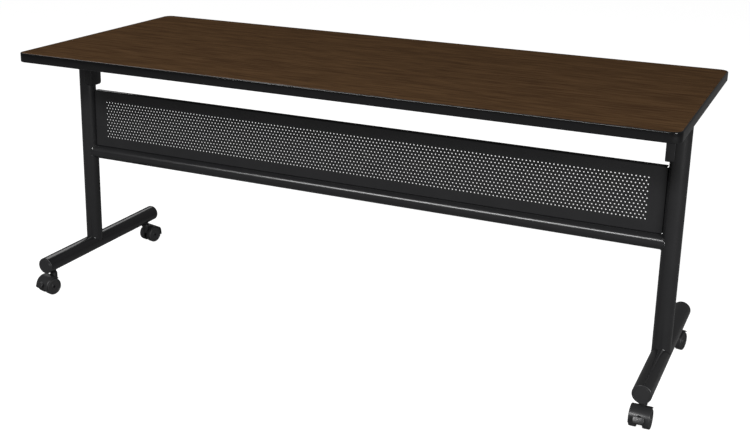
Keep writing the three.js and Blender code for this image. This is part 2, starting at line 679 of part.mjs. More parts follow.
function panelScrew(side, level, height) {
  const headStart = PANEL_FLANGE_FACE + PANEL_SHEET + SEAT_GAP;
  const headEnd = headStart + PANEL_SCREW_HEAD;
  const tip = headStart - PANEL_SHEET - PANEL_SCREW_BITE;
  const screw = turned(
    "x",
    [
      [0, tip],
      [PANEL_SCREW_RADIUS, tip],
      [PANEL_SCREW_RADIUS, headStart],
      [PANEL_SCREW_HEAD_RADIUS, headStart],
      [PANEL_SCREW_HEAD_RADIUS * HEAD_TAPER, headEnd],
      [0, headEnd],
    ],
    [PANEL_SCREW_SETBACK, height],
    SCREW_SIDES,
  );
  return part(`panel_screw_${level}_${side}`, screw, "zinc");
}

// The right leg is the left one mirrored.
function leg(side) {
  const group = new THREE.Group();
  const sign = side === "left" ? -1 : 1;
  group.position.set(sign * COLUMN_X, COLUMN_Y, 0);
  group.scale.x = -sign;
  group.add(column(side), columnCap(side), foot(side));
  group.add(footCap(side, "front", -1, FOOT_FRONT_REACH), footCap(side, "back", 1, FOOT_BACK_REACH));
  group.add(pivotBolt(side), pivotBush(side), hingeBracket(side), lockPin(side), lockSpring(side));
  for (const [index, at] of BRACKET_SCREWS.entries()) {
    group.add(bracketScrew(side, index + 1, at));
  }
  for (const [level, height] of Object.entries(PANEL_SCREW_HEIGHTS)) {
    group.add(panelScrew(side, level, height));
  }
  return group;
}

function beam() {
  const at = [COLUMN_Y, BEAM_HEIGHT];
  const tube = bar("x", BEAM_RADIUS, -COLUMN_X, COLUMN_X, at);
  const bore = bar("x", BEAM_RADIUS - TUBE_WALL, -COLUMN_X - OVERCUT, COLUMN_X + OVERCUT, at);
  const low = BEAM_HEIGHT - BEAM_RADIUS - OVERCUT;
  const high = BEAM_HEIGHT + BEAM_RADIUS + OVERCUT;
  const saddles = [-COLUMN_X, COLUMN_X].map((x) =>
    bar("z", LEG_RADIUS + SEAT_GAP, low, high, [x, COLUMN_Y]),
  );
  return part("cross_beam", cut(tube, bore, ...saddles), "powderCoat");
}

// A folded tray, open at the back.
function modestyPanel() {
  const x = PANEL_LENGTH / 2;
  const front = COLUMN_Y - PANEL_FRONT;
  const back = front + PANEL_FLANGE;
  const tray = block([-x, front, PANEL_BOTTOM], [x, back, PANEL_TOP]);
  const hollow = block(
    [-x + PANEL_SHEET, front + PANEL_SHEET, PANEL_BOTTOM + PANEL_SHEET],
    [x - PANEL_SHEET, back + OVERCUT, PANEL_TOP - PANEL_SHEET],
  );
  const screwRoom = PANEL_SCREW_RADIUS + SEAT_GAP;
  const screwLine = COLUMN_Y + PANEL_SCREW_SETBACK;
  const screwHoles = Object.values(PANEL_SCREW_HEIGHTS).map((height) =>
    bar("x", screwRoom, -x - OVERCUT, x + OVERCUT, [screwLine, height], SCREW_SIDES),
  );
  return part("modesty_panel", cut(tray, hollow, ...screwHoles), "powderCoat");
}

// Casters stand in a frame with the stem on Z, the wheels trailing towards +X and the axle along Y.
const HOOD_START = THREE.MathUtils.degToRad(HOOD_BACK_ANGLE);
const HOOD_END = THREE.MathUtils.degToRad(HOOD_FRONT_ANGLE);

function hoodShell() {
  const shape = new THREE.Shape();
  shape.absarc(CASTER_TRAIL, WHEEL_RADIUS, HOOD_OUTER, HOOD_START, HOOD_END);
  shape.absarc(CASTER_TRAIL, WHEEL_RADIUS, HOOD_INNER, HOOD_END, HOOD_START, true);
  return slabAcrossY(shape, CASTER_WIDTH);
}

// The web between the wheels carries the axle, the stem's socket and the pedal.
function hoodWeb() {
  const shape = new THREE.Shape();
  const bossStart = THREE.MathUtils.degToRad(AXLE_BOSS_START);
  const bossEnd = THREE.MathUtils.degToRad(AXLE_BOSS_END);
  shape.absarc(CASTER_TRAIL, WHEEL_RADIUS, (HOOD_INNER + HOOD_OUTER) / 2, HOOD_START, HOOD_END);
  shape.lineTo(HOOD_NECK_HALF, HOOD_TOP - HOOD_NECK_STEP);
  shape.lineTo(-HOOD_NECK_HALF, HOOD_TOP - HOOD_NECK_STEP);
  shape.lineTo(-HOOD_NECK_HALF, WHEEL_RADIUS + HOOD_NECK_FOOT);
  shape.absarc(CASTER_TRAIL, WHEEL_RADIUS, AXLE_BOSS_RADIUS, bossStart, bossEnd);
  return slabAcrossY(shape, HOOD_WEB);
}

function casterHood(name) {
  const bossBottom = WHEEL_RADIUS + HOOD_INNER;
  const boss = bar("z", HOOD_BOSS_RADIUS, bossBottom, HOOD_TOP, [0, 0], PIN_SIDES);
  const socketBottom = HOOD_TOP - HOOD_SOCKET_DEPTH;
  const socketRoom = STEM_NECK_RADIUS + SEAT_GAP;
  const socket = bar("z", socketRoom, socketBottom, HOOD_TOP + OVERCUT, [0, 0], PIN_SIDES);
  const axleAt = [CASTER_TRAIL, WHEEL_RADIUS];
  const axleHole = bar("y", AXLE_RADIUS + SEAT_GAP, -HOOD_WEB, HOOD_WEB, axleAt, PIN_SIDES);
  const pinRoom = PEDAL_PIN_RADIUS + SEAT_GAP;
  const pedalHole = bar("y", pinRoom, -HOOD_WEB, HOOD_WEB, PEDAL_PIVOT, SCREW_SIDES);
  const slotHalf = PEDAL_ARM_WIDTH / 2 + SEAT_GAP;
  const slot = block(
    [PEDAL_PIVOT[0] - PEDAL_SLOT_START, -slotHalf, 0],
    [CASTER_TRAIL + HOOD_OUTER + OVERCUT, slotHalf, PEDAL_PIVOT[1] + PEDAL_SLOT_ROOM],
  );
  const body = cut(join(hoodShell(), hoodWeb(), boss), socket, axleHole, pedalHole, slot);
  return part(`caster_hood_${name}`, body, "nylon");
}

function casterPedal(name) {
  const [pivotX, pivotZ] = PEDAL_PIVOT;
  const [topX, topZ] = PEDAL_PAD_TOP;
  const [tipX, tipZ] = PEDAL_PAD_TIP;
  const padLength = Math.hypot(tipX - topX, tipZ - topZ);
  const outX = ((topZ - tipZ) / padLength) * PEDAL_PAD_THICKNESS;
  const outZ = ((tipX - topX) / padLength) * PEDAL_PAD_THICKNESS;
  const padShape = new THREE.Shape();
  padShape.moveTo(topX, topZ);
  padShape.lineTo(tipX, tipZ);
  padShape.lineTo(tipX + outX, tipZ + outZ);
  padShape.lineTo(topX + outX, topZ + outZ);
  padShape.closePath();
  const armShape = new THREE.Shape();
  armShape.moveTo(pivotX, pivotZ - PEDAL_BARREL_RADIUS);
  armShape.lineTo(topX + outX, topZ - outZ);
  armShape.lineTo(topX + outX, topZ + outZ);
  armShape.lineTo(pivotX, pivotZ + PEDAL_BARREL_RADIUS);
  armShape.closePath();
  const armHalf = PEDAL_ARM_WIDTH / 2;
  const barrel = bar("y", PEDAL_BARREL_RADIUS, -armHalf, armHalf, PEDAL_PIVOT, PIN_SIDES);
  const pin = bar("y", PEDAL_PIN_RADIUS, -HOOD_WEB / 2, HOOD_WEB / 2, PEDAL_PIVOT, SCREW_SIDES);
  const arm = slabAcrossY(armShape, PEDAL_ARM_WIDTH);
  const body = join(slabAcrossY(padShape, PEDAL_PAD_WIDTH), arm, barrel, pin);
  return part(`brake_pedal_${name}`, body, "nylon");
}

// One wheel, on the side of the web that its direction gives.
function casterWheel(name, side, direction) {
  const bore = AXLE_RADIUS + SEAT_GAP;
  const inner = HOOD_WEB / 2 + WHEEL_SIDE_GAP;
  const outer = inner + WHEEL_WIDTH;
  const outline = [
    [bore, inner],
    [WHEEL_RADIUS, inner],
    [WHEEL_RADIUS, outer - WHEEL_CHAMFER],
    [WHEEL_RADIUS - WHEEL_CHAMFER, outer],
    [bore, outer],
  ];
  const placed = outline.map(([radius, place]) => [radius, place * direction]);
  const wheel = turnedRing("y", placed, [CASTER_TRAIL, WHEEL_RADIUS], WHEEL_SIDES);
  return part(`caster_wheel_${side}_${name}`, wheel, "wheel");
}

function casterAxle(name) {
  const half = CASTER_WIDTH / 2 - AXLE_INSET;
  const axle = bar("y", AXLE_RADIUS, -half, half, [CASTER_TRAIL, WHEEL_RADIUS], PIN_SIDES);
  return part(`caster_axle_${name}`, axle, "zinc");
}

function casterStem(name) {
  const collarBottom = HOOD_TOP + SEAT_GAP;
  const collarTop = FOOT_BOTTOM - SEAT_GAP;
  const stem = turned("z", [
    [0, HOOD_TOP - HOOD_SOCKET_DEPTH + SEAT_GAP],
    [STEM_NECK_RADIUS, HOOD_TOP - HOOD_SOCKET_DEPTH + SEAT_GAP],
    [STEM_NECK_RADIUS, collarBottom],
    [STEM_COLLAR_RADIUS, collarBottom],
    [STEM_COLLAR_RADIUS, collarTop],
    [STEM_GRIP_RADIUS, collarTop],
    [STEM_GRIP_RADIUS, collarTop + STEM_GRIP_LENGTH],
    [0, collarTop + STEM_GRIP_LENGTH],
  ]);
  return part(`caster_stem_${name}`, stem, "zinc");
}

function caster(name, x, y) {
  const group = new THREE.Group();
  group.position.set(x, y, 0);
  group.rotation.z = THREE.MathUtils.degToRad(SWIVEL[name]);
  group.add(casterStem(name), casterHood(name), casterAxle(name), casterPedal(name));
  group.add(casterWheel(name, "near", -1), casterWheel(name, "far", 1));
  return group;
}

const table = new THREE.Group();
table.add(top(), leg("left"), leg("right"), beam(), modestyPanel());
const frontCasters = COLUMN_Y - FOOT_FRONT_REACH + CASTER_SETBACK;
const backCasters = COLUMN_Y + FOOT_BACK_REACH - CASTER_SETBACK;
table.add(caster("front_left", -COLUMN_X, frontCasters), caster("front_right", COLUMN_X, frontCasters));
table.add(caster("back_left", -COLUMN_X, backCasters), caster("back_right", COLUMN_X, backCasters));

export default table;
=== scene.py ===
"""Looks of the flip top training table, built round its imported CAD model.

Everything is in metres, in the frame of the CAD model: +X along the table, -Y the panel side, +Z up.
"""

import json
import math

import bmesh
import bpy
from bpy.props import FloatProperty, FloatVectorProperty, IntProperty, PointerProperty
from mathutils import Matrix, Vector


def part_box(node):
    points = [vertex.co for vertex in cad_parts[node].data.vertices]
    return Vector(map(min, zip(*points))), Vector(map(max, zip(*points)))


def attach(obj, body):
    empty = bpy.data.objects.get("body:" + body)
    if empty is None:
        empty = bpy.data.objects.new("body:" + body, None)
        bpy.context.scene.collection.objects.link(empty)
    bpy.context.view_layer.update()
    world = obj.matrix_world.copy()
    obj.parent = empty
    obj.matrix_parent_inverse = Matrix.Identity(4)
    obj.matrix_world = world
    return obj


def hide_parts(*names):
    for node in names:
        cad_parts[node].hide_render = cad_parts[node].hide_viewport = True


bl_info = {
    "name": "Flip Top Training Table",
    "version": (1, 0, 0),
    "blender": (4, 5, 0),
    "location": "3D View > Sidebar > Table",
    "description": "Builds the visual pieces of a flip top training table round its CAD model",
    "category": "Object",
}

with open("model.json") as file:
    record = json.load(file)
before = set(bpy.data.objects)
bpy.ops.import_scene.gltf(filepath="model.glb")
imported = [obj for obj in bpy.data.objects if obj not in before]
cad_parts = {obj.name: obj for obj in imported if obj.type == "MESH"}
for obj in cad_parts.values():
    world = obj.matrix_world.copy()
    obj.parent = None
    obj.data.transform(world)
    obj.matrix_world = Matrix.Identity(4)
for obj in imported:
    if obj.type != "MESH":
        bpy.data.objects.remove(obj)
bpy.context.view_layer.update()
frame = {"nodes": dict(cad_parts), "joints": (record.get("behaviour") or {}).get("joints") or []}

SIDES = {"left": -1, "right": 1}
LEVELS = ("upper", "lower")
CASTERS = ("front_left", "front_right", "back_left", "back_right")
JOINTS = {joint["name"]: joint for joint in frame["joints"]}
MM = 0.001
UP = Vector((0, 0, 1))

# Frames whose Z runs along the table's X or Y
ALONG_X = Matrix(((0, 0, 1, 0), (1, 0, 0, 0), (0, 1, 0, 0), (0, 0, 0, 1)))
ALONG_Y = Matrix(((1, 0, 0, 0), (0, 0, 1, 0), (0, 1, 0, 0), (0, 0, 0, 1)))

# Build of the mesh and of the metal
TUBE_WALL = 2 * MM
PLATE = 4 * MM
SEAM = 0.3 * MM
TUBE_SIDES = 72
SMALL_SIDES = 36
CORNER_STEPS = 14
BEND_STEPS = 6
SMOOTH_BELOW = math.radians(38)
WELDED_BELOW = 0.002 * MM

# Places and sizes that the CAD model gives
TOP_LOW, TOP_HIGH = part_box("edge_band")
FOOT_LOW, FOOT_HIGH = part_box("foot_right")
BEAM_LOW, BEAM_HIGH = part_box("cross_beam")
PANEL_LOW, PANEL_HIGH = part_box("modesty_panel")
LEG_RADIUS = (FOOT_HIGH.x - FOOT_LOW.x) / 2
COLUMN_X = (FOOT_HIGH.x + FOOT_LOW.x) / 2
FOOT_HEIGHT = (FOOT_HIGH.z + FOOT_LOW.z) / 2
PIVOT = Vector(JOINTS["top_flip"]["pos_m"])
COLUMN_Y = PIVOT.y
COLUMN_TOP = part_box("column_right")[1].z
PLUG_RADIUS = LEG_RADIUS - TUBE_WALL - SEAM
BEAM_RADIUS = (BEAM_HIGH.z - BEAM_LOW.z) / 2
BEAM_HEIGHT = (BEAM_HIGH.z + BEAM_LOW.z) / 2

# Places and sizes round the hinge, the places measured from a column's middle line inwards
BUSH_LOW, BUSH_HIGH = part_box("pivot_bush_right")
LOCK_LOW, LOCK_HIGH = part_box("lock_pin_right")
BRACKET_LOW, BRACKET_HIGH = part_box("hinge_bracket_right")
SPRING_LOW, SPRING_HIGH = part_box("lock_spring_right")
HEAD_FACE = COLUMN_X - BUSH_HIGH.x - SEAM
WEB_BACK = COLUMN_X - BUSH_LOW.x
WEB_FACE = WEB_BACK - PLATE
FLANGE_TOP = BRACKET_HIGH.z
FLANGE_BOTTOM = FLANGE_TOP - PLATE
LOCK_V = (LOCK_LOW.y + LOCK_HIGH.y) / 2 - COLUMN_Y
LOCK_Z = (LOCK_LOW.z + LOCK_HIGH.z) / 2
LOCK_TRAVEL = JOINTS["lock_right"]["range_m"][1]
LOCK_MARGIN = 16 * MM
LOCK_PIN_RADIUS = 4 * MM
LOCK_SLEEVE_BORE = 6.5 * MM
LOCK_SLEEVE_RADIUS = 8.9 * MM
KNOB_RADIUS = (LOCK_HIGH.z - LOCK_LOW.z) / 2
KNOB_LENGTH = 14 * MM
KNOB_END = COLUMN_X - LOCK_LOW.x
PIN_TIP = COLUMN_X - LOCK_HIGH.x
KNOB_START = KNOB_END - KNOB_LENGTH
SLEEVE_FACE = KNOB_START - LOCK_TRAVEL - SEAM
SPRING_START = COLUMN_X - SPRING_HIGH.x
SPRING_END = COLUMN_X - SPRING_LOW.x
PIVOT_BOLT_RADIUS = 6 * MM
BUSH_RADIUS = 8.3 * MM
BUSH_FLANGE_RADIUS = (BUSH_HIGH.z - BUSH_LOW.z) / 2


def linear(red, green, blue):
    """A screen colour from 0 to 255 as the linear colour that shaders take."""
    return tuple(
        value / 255 / 12.92 if value <= 10 else ((value / 255 + 0.055) / 1.055) ** 2.4
        for value in (red, green, blue)
    )


def length_property(name, description, millimetres):
    return FloatProperty(
        name=name,
        description=description,
        default=millimetres * MM,
        min=0,
        precision=5,
        unit="LENGTH",
        subtype="DISTANCE",
    )


def colour_property(name, description, red, green, blue):
    return FloatVectorProperty(
        name=name,
        description=description,
        default=linear(red, green, blue),
        min=0,
        max=1,
        size=3,
        subtype="COLOR",
    )


class TableSizes(bpy.types.PropertyGroup):
    """Sizes of the details that the CAD model leaves to the looks."""

    corner_radius: length_property("Corner radius", "Radius of the top's corners in plan", 25)
    band_thickness: length_property("Band thickness", "Thickness of the edge band", 3)
    arris_radius: length_property("Arris radius", "Rounding of the edge band's two long edges", 2.6)
    laminate_thickness: length_property("Laminate thickness", "Thickness of the wood-grain sheet", 0.8)
    hole_pitch: length_property("Hole pitch", "Distance between the panel's holes along a row", 10.3)
    hole_diameter: length_property("Hole diameter", "Diameter of the panel's holes", 3.4)
    hole_rows: IntProperty(name="Hole rows", description="Rows of holes in the panel", default=13, min=1)
    bend_radius: length_property("Bend radius", "Outer radius of the panel's folds", 3)
    sheet_thickness: length_property("Sheet thickness", "Thickness of the panel's sheet", 1.5)
    weld_radius: length_property("Weld radius", "Half of the width of a weld bead", 1.6)
    knob_flutes: IntProperty(name="Knob flutes", description="Flutes round a knob", default=10, min=3)


class TableFinishes(bpy.types.PropertyGroup):
    """Colours of the table's materials."""

    walnut_dark: colour_property("Walnut, dark", "Darkest streak of the wood grain", 70, 51, 35)
    walnut_light: colour_property("Walnut, light", "Lightest streak of the wood grain", 92, 69, 47)
    edge_band: colour_property("Edge band", "Colour of the edge band", 11, 11, 12)
    powder_coat: colour_property("Powder coat", "Paint of the tubes, panel and brackets", 31, 31, 32)
    nylon: colour_property("Nylon", "Moulded caps, hoods, pedals and knobs", 38, 38, 39)
    tread: colour_property("Tread", "Wheels of the casters", 34, 34, 35)
    zinc: colour_property("Zinc", "Bolts, screws, lock pins and springs", 168, 170, 174)
    dark_steel: colour_property("Dark steel", "Blackened stems and axles of the casters", 52, 52, 54)
    board: colour_property("Board", "Core of the top", 156, 127, 92)
    backer: colour_property("Backing sheet", "Sheet under the top", 36, 31, 28)
    floor: colour_property("Floor", "Floor of the studio", 110, 110, 110)


def sizes():
    return bpy.context.scene.table_sizes


def finishes():
    return bpy.context.scene.table_finishes


# Materials


def add_node(tree, kind, place, values=None, **settings):
    """A node at a place in the tree, with its settings and the values of its inputs."""
    node = tree.nodes.new(kind)
    node.location = place
    for name, value in settings.items():
        setattr(node, name, value)
    for socket, value in (values or {}).items():
        node.inputs[socket].default_value = value
    return node


def link(tree, *links):
    """Links sockets, each time from a node and its output to a node and its input."""
    for start, output, end, socket in links:
        tree.links.new(start.outputs[output], end.inputs[socket])


def new_group(name, inputs, outputs):
    """A shader node group with named sockets, and the nodes at its two ends."""
    group = bpy.data.node_groups.new(name, "ShaderNodeTree")
    for socket, kind, default in inputs:
        made = group.interface.new_socket(socket, in_out="INPUT", socket_type=kind)
        made.default_value = default
    for socket, kind in outputs:
        group.interface.new_socket(socket, in_out="OUTPUT", socket_type=kind)
    start = add_node(group, "NodeGroupInput", (-700, 0))
    end = add_node(group, "NodeGroupOutput", (500, 0))
    return group, start, end


def surface_grain_group():
    """Fine unevenness of a coated or moulded surface, as a roughness and a bump height."""
    name = "Surface grain"
    if name in bpy.data.node_groups:
        return bpy.data.node_groups[name]
    number = "NodeSocketFloat"
    group, start, end = new_group(
        name,
        [("Scale", number, 900), ("Smoothest", number, 0.4), ("Roughest", number, 0.55)],
        [("Roughness", number), ("Height", number)],
    )
    place = add_node(group, "ShaderNodeTexCoord", (-700, 250))
    fine = add_node(group, "ShaderNodeTexNoise", (-450, 200), {"Detail": 3})
    broad = add_node(group, "ShaderNodeTexNoise", (-450, -100), {"Scale": 14, "Detail": 4})
    blend = add_node(group, "ShaderNodeMapRange", (100, 0), {"From Min": 0.3, "From Max": 0.7})
    link(
        group,
        (place, "Object", fine, "Vector"),
        (place, "Object", broad, "Vector"),
        (start, "Scale", fine, "Scale"),
        (broad, "Fac", blend, "Value"),
        (start, "Smoothest", blend, "To Min"),
        (start, "Roughest", blend, "To Max"),
        (blend, "Result", end, "Roughness"),
        (fine, "Fac", end, "Height"),
    )
    return group


def cloudy_tint_group():
    """A colour with faint lighter and darker clouds, as dust and handling leave on a dark surface."""
    name = "Cloudy tint"
    if name in bpy.data.node_groups:
        return bpy.data.node_groups[name]
    colour, number = "NodeSocketColor", "NodeSocketFloat"
    group, start, end = new_group(
        name,
        [("Tint", colour, (1, 1, 1, 1)), ("Strength", number, 0.15)],
        [("Tint", colour)],
    )
    place = add_node(group, "ShaderNodeTexCoord", (-700, 250))
    cloud = add_node(group, "ShaderNodeTexNoise", (-450, 200), {"Scale": 22, "Detail": 6})
    centred = add_node(group, "ShaderNodeMath", (-200, 200), {1: 0.5}, operation="SUBTRACT")
    scaled = add_node(group, "ShaderNodeMath", (-50, 200), operation="MULTIPLY")
    factor = add_node(group, "ShaderNodeMath", (100, 200), {1: 1}, operation="ADD")
    shade = add_node(group, "ShaderNodeVectorMath", (280, 0), operation="SCALE")
    link(
        group,
        (place, "Object", cloud, "Vector"),
        (cloud, "Fac", centred, 0),
        (centred, "Value", scaled, 0),
        (start, "Strength", scaled, 1),
        (scaled, "Value", factor, 0),
        (start, "Tint", shade, 0),
        (factor, "Value", shade, "Scale"),
        (shade, "Vector", end, "Tint"),
    )
    return group


def new_material(name, values):
    """A material with values set in its shader, its node tree and that shader."""
    material = bpy.data.materials.new(name)
    material.use_nodes = True
    shader = material.node_tree.nodes["Principled BSDF"]
    for socket, value in values.items():
        shader.inputs[socket].default_value = value
    return material, material.node_tree, shader


def grained_material(name, colour, roughness, scale, relief, metallic=0, specular=0.5, cloud=0.3):
    """A coated, moulded or plated surface with fine grain and faint clouds. Roughness is the range of
    the grain, scale its grains in a metre, relief its depth and cloud the strength of the clouds."""
    if name in bpy.data.materials:
        return bpy.data.materials[name]
    smoothest, roughest = roughness
    shine = {"Metallic": metallic, "Specular IOR Level": specular}
    material, tree, shader = new_material(name, shine)
    values = {"Tint": (*colour, 1), "Strength": cloud}
    tint = add_node(tree, "ShaderNodeGroup", (-500, 200), values, node_tree=cloudy_tint_group())
    values = {"Scale": scale, "Smoothest": smoothest, "Roughest": roughest}
    grain = add_node(tree, "ShaderNodeGroup", (-500, -100), values, node_tree=surface_grain_group())
    bump = add_node(tree, "ShaderNodeBump", (-250, -250), {"Strength": relief, "Distance": 0.1 * MM})
    link(
        tree,
        (tint, "Tint", shader, "Base Color"),
        (grain, "Roughness", shader, "Roughness"),
        (grain, "Height", bump, "Height"),
        (bump, "Normal", shader, "Normal"),
    )
    return material


def powder_coat():
    colour = finishes().powder_coat
    return grained_material("Black powder coat", colour, (0.19, 0.25), 1500, 0.03, specular=0.38)


def moulded_nylon():
    return grained_material("Black nylon", finishes().nylon, (0.3, 0.4), 1100, 0.15, specular=0.35)


def edge_vinyl():
    return grained_material("Black edge band", finishes().edge_band, (0.1, 0.16), 700, 0.02, specular=0.4)


def wheel_tread():
    return grained_material("Wheel tread", finishes().tread, (0.5, 0.65), 800, 0.3)


def zinc_plate():
    return grained_material("Zinc plate", finishes().zinc, (0.25, 0.4), 500, 0.1, metallic=1)


def dark_steel():
    return grained_material("Blackened steel", finishes().dark_steel, (0.3, 0.45), 500, 0.1, metallic=1)


def painted_weld():
    return grained_material("Painted weld", finishes().powder_coat, (0.14, 0.24), 900, 0.3, specular=0.7)


def particle_board():
    return grained_material("Particle board", finishes().board, (0.8, 0.95), 350, 0.8, cloud=0.8)


def backing_sheet():
    return grained_material("Backing sheet", finishes().backer, (0.55, 0.7), 600, 0.2)


def streak_layer(tree, stretch, detail, place):
    """Noise drawn out along the table's length."""
    coordinates = add_node(tree, "ShaderNodeTexCoord", (place[0] - 400, place[1]))
    mapping = add_node(tree, "ShaderNodeMapping", (place[0] - 200, place[1]), {"Scale": stretch})
    values = {"Scale": 1, "Detail": detail, "Distortion": 0.35}
    noise = add_node(tree, "ShaderNodeTexNoise", place, values)
    link(tree, (coordinates, "Object", mapping, "Vector"), (mapping, "Vector", noise, "Vector"))
    return noise


def walnut_laminate():
    """Dark walnut print: broad bands, short streaks and fine dark pores, all along the length."""
    name = "Walnut laminate"
    if name in bpy.data.materials:
        return bpy.data.materials[name]
    material, tree, shader = new_material(name, {"Specular IOR Level": 0})
    bands = streak_layer(tree, (0.7, 26, 26), 4, (-900, 500))
    streaks = streak_layer(tree, (11, 120, 120), 6, (-900, 200))
    pores = streak_layer(tree, (14, 900, 900), 3, (-900, -100))
    band_share = 0.18
    mixed = add_node(tree, "ShaderNodeMath", (-650, 350), {1: 1 - band_share}, operation="MULTIPLY_ADD")
    weighted = add_node(tree, "ShaderNodeMath", (-800, 350), {1: band_share}, operation="MULTIPLY")
    ramp = add_node(tree, "ShaderNodeValToRGB", (-500, 350))
    ends = ((0.36, finishes().walnut_dark), (0.64, finishes().walnut_light))
    for element, (position, colour) in zip(ramp.color_ramp.elements, ends):
        element.position = position
        element.color = (*colour, 1)
    depth = {"From Min": 0.3, "From Max": 0.46, "To Min": 0.62}
    pore_mask = add_node(tree, "ShaderNodeMapRange", (-650, -100), depth)
    pored = add_node(tree, "ShaderNodeVectorMath", (-200, 300), operation="SCALE")
    gloss = add_node(tree, "ShaderNodeMapRange", (-400, 0), {"To Min": 0.5, "To Max": 0.42})
    bump = add_node(tree, "ShaderNodeBump", (-200, -250), {"Strength": 0.15, "Distance": 0.1 * MM})
    link(
        tree,
        (bands, "Fac", weighted, 0),
        (streaks, "Fac", mixed, 0),
        (weighted, "Value", mixed, 2),
        (mixed, "Value", ramp, "Fac"),
        (pores, "Fac", pore_mask, "Value"),
        (ramp, "Color", pored, 0),
        (pore_mask, "Result", pored, "Scale"),
        (pored, "Vector", shader, "Base Color"),
        (pore_mask, "Result", gloss, "Value"),
        (gloss, "Result", shader, "Roughness"),
        (pores, "Fac", bump, "Height"),
        (bump, "Normal", shader, "Normal"),
    )
    return material


# Shapes


def turn_angles(count):
    """Angles in even steps once round."""
    return [2 * math.pi * step / count for step in range(count)]


def circle(radius, sides):
    """Points in even steps once round a circle."""
    return [(radius * math.cos(angle), radius * math.sin(angle)) for angle in turn_angles(sides)]


def quarter_angles(steps):
    """Angles in even steps from nought to a right angle."""
    return [math.pi / 2 * step / steps for step in range(steps + 1)]


def new_object(name, points, faces):
    """A mesh object in the scene."""
    mesh = bpy.data.meshes.new(name)
    mesh.from_pydata(points, [], faces)
    made = bpy.data.objects.new(name, mesh)
    bpy.context.scene.collection.objects.link(made)
    return made


def tidied(shape):
    """A shape with its doubled points joined and its faces turned outwards."""
    points, faces = shape
    bm = bmesh.new()
    vertices = [bm.verts.new(point) for point in points]
    for face in faces:
        bm.faces.new([vertices[index] for index in face])
    bmesh.ops.remove_doubles(bm, verts=bm.verts, dist=WELDED_BELOW)
    bmesh.ops.dissolve_degenerate(bm, edges=bm.edges, dist=WELDED_BELOW)
    bmesh.ops.recalc_face_normals(bm, faces=bm.faces)
    return taken_out(bm, Matrix())


def taken_out(bm, place):
    """The points, in a frame, and the faces of an edited mesh, which is then freed."""
    bm.verts.index_update()
    points = [place @ vertex.co for vertex in bm.verts]
    faces = [tuple(vertex.index for vertex in face.verts) for face in bm.faces]
    bm.free()
    return points, faces


def joined(shapes):
    """Shapes as one, so that the points they share are joined when it is tidied."""
    points, faces = [], []
    for more_points, more_faces in shapes:
        start = len(points)
        points.extend(more_points)
        faces.extend(tuple(start + index for index in face) for face in more_faces)
    return points, faces


class Shell:
    """Closed shapes gathered for one mesh, which may run into each other."""

    def __init__(self, *shapes):
        self.shapes = [tidied(shape) for shape in shapes]

    def add(self, shape):
        self.shapes.append(tidied(shape))

    def piece(self, name, material, slot, body, replaces=True):
        """The shell as an object that rides on a body and stands for the CAD node of its name."""
        piece = new_object(f"look_{name}", *joined(self.shapes))
        mesh = piece.data
        mesh.polygons.foreach_set("use_smooth", [True] * len(mesh.polygons))
        mesh.set_sharp_from_angle(angle=SMOOTH_BELOW)
        mesh.materials.append(material)
        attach(piece, body)
        if replaces:
            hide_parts(name)


def skin(loops, round_trip=False):
    """A skin over loops of equal length, capped at both ends or closed on itself."""
    count = len(loops[0])
    points = [point for loop in loops for point in loop]
    faces = []
    for index in range(len(loops) if round_trip else len(loops) - 1):
        here = index * count
        there = (index + 1) % len(loops) * count
        for step in range(count):
            following = (step + 1) % count
            faces.append((here + step, here + following, there + following, there + step))
    if not round_trip:
        faces.append(tuple(range(count)))
        faces.append(tuple(range(len(points) - count, len(points))))
    return points, faces


def axis_frame(origin, axis):
    """A frame with its Z along the axis."""
    return Matrix.Translation(origin) @ Vector(axis).to_track_quat("Z", "Y").to_matrix().to_4x4()


def turned(outline, place, sides=SMALL_SIDES, round_trip=False):
    """A turned shape. Each point of the outline is a radius, a place on the axis and, where it isn't
    round, a function that gives the share of that radius at an angle."""
    loops = []
    for radius, along, *shaping in outline:
        loop = []
        for angle in turn_angles(sides):
            reach = radius * shaping[0](angle) if shaping else radius
            loop.append(place @ Vector((reach * math.cos(angle), reach * math.sin(angle), along)))
        loops.append(loop)
    return skin(loops, round_trip)


def rounding(radius, along, size, steps=5):
    """A quarter round in a turned outline, from its side to its top; radius and along are those of the
    sharp corner."""
    return [
        (radius - size + size * math.cos(angle), along - size + size * math.sin(angle))
        for angle in quarter_angles(steps)
    ]


def hexagon(angle):
    """A hexagon's radius at an angle, as a share of the radius of its flats."""
    sixth = math.pi / 3
    return 1 / math.cos((angle + sixth / 2) % sixth - sixth / 2)


def rounded_outline(corners, steps=6):
    """A flat outline whose corners (x, y, radius) are arcs."""
    outline = []
    for index, (x, y, radius) in enumerate(corners):
        corner = Vector((x, y))
        before = (Vector(corners[index - 1][:2]) - corner).normalized()
        after = (Vector(corners[(index + 1) % len(corners)][:2]) - corner).normalized()
        if radius <= 0:
            outline.append(corner)
            continue
        half = before.angle(after) / 2
        centre = corner + (before + after).normalized() * (radius / math.sin(half))
        start = corner + before * (radius / math.tan(half)) - centre
        end = corner + after * (radius / math.tan(half)) - centre
        sweep = start.angle_signed(end)
        for step in range(steps + 1):
            turn = Matrix.Rotation(-sweep * step / steps, 2)
            outline.append(centre + turn @ start)
    return outline


def rectangle(x0, y0, x1, y1, radius):
    return rounded_outline([(x0, y0, radius), (x1, y0, radius), (x1, y1, radius), (x0, y1, radius)])


def arc(centre_x, centre_z, radius, start, end, steps=16):
    """Points on an arc, from one angle to another in degrees."""
    points = []
    for step in range(steps + 1):
        angle = math.radians(start + (end - start) * step / steps)
        points.append(Vector((centre_x + radius * math.cos(angle), centre_z + radius * math.sin(angle))))
    return points


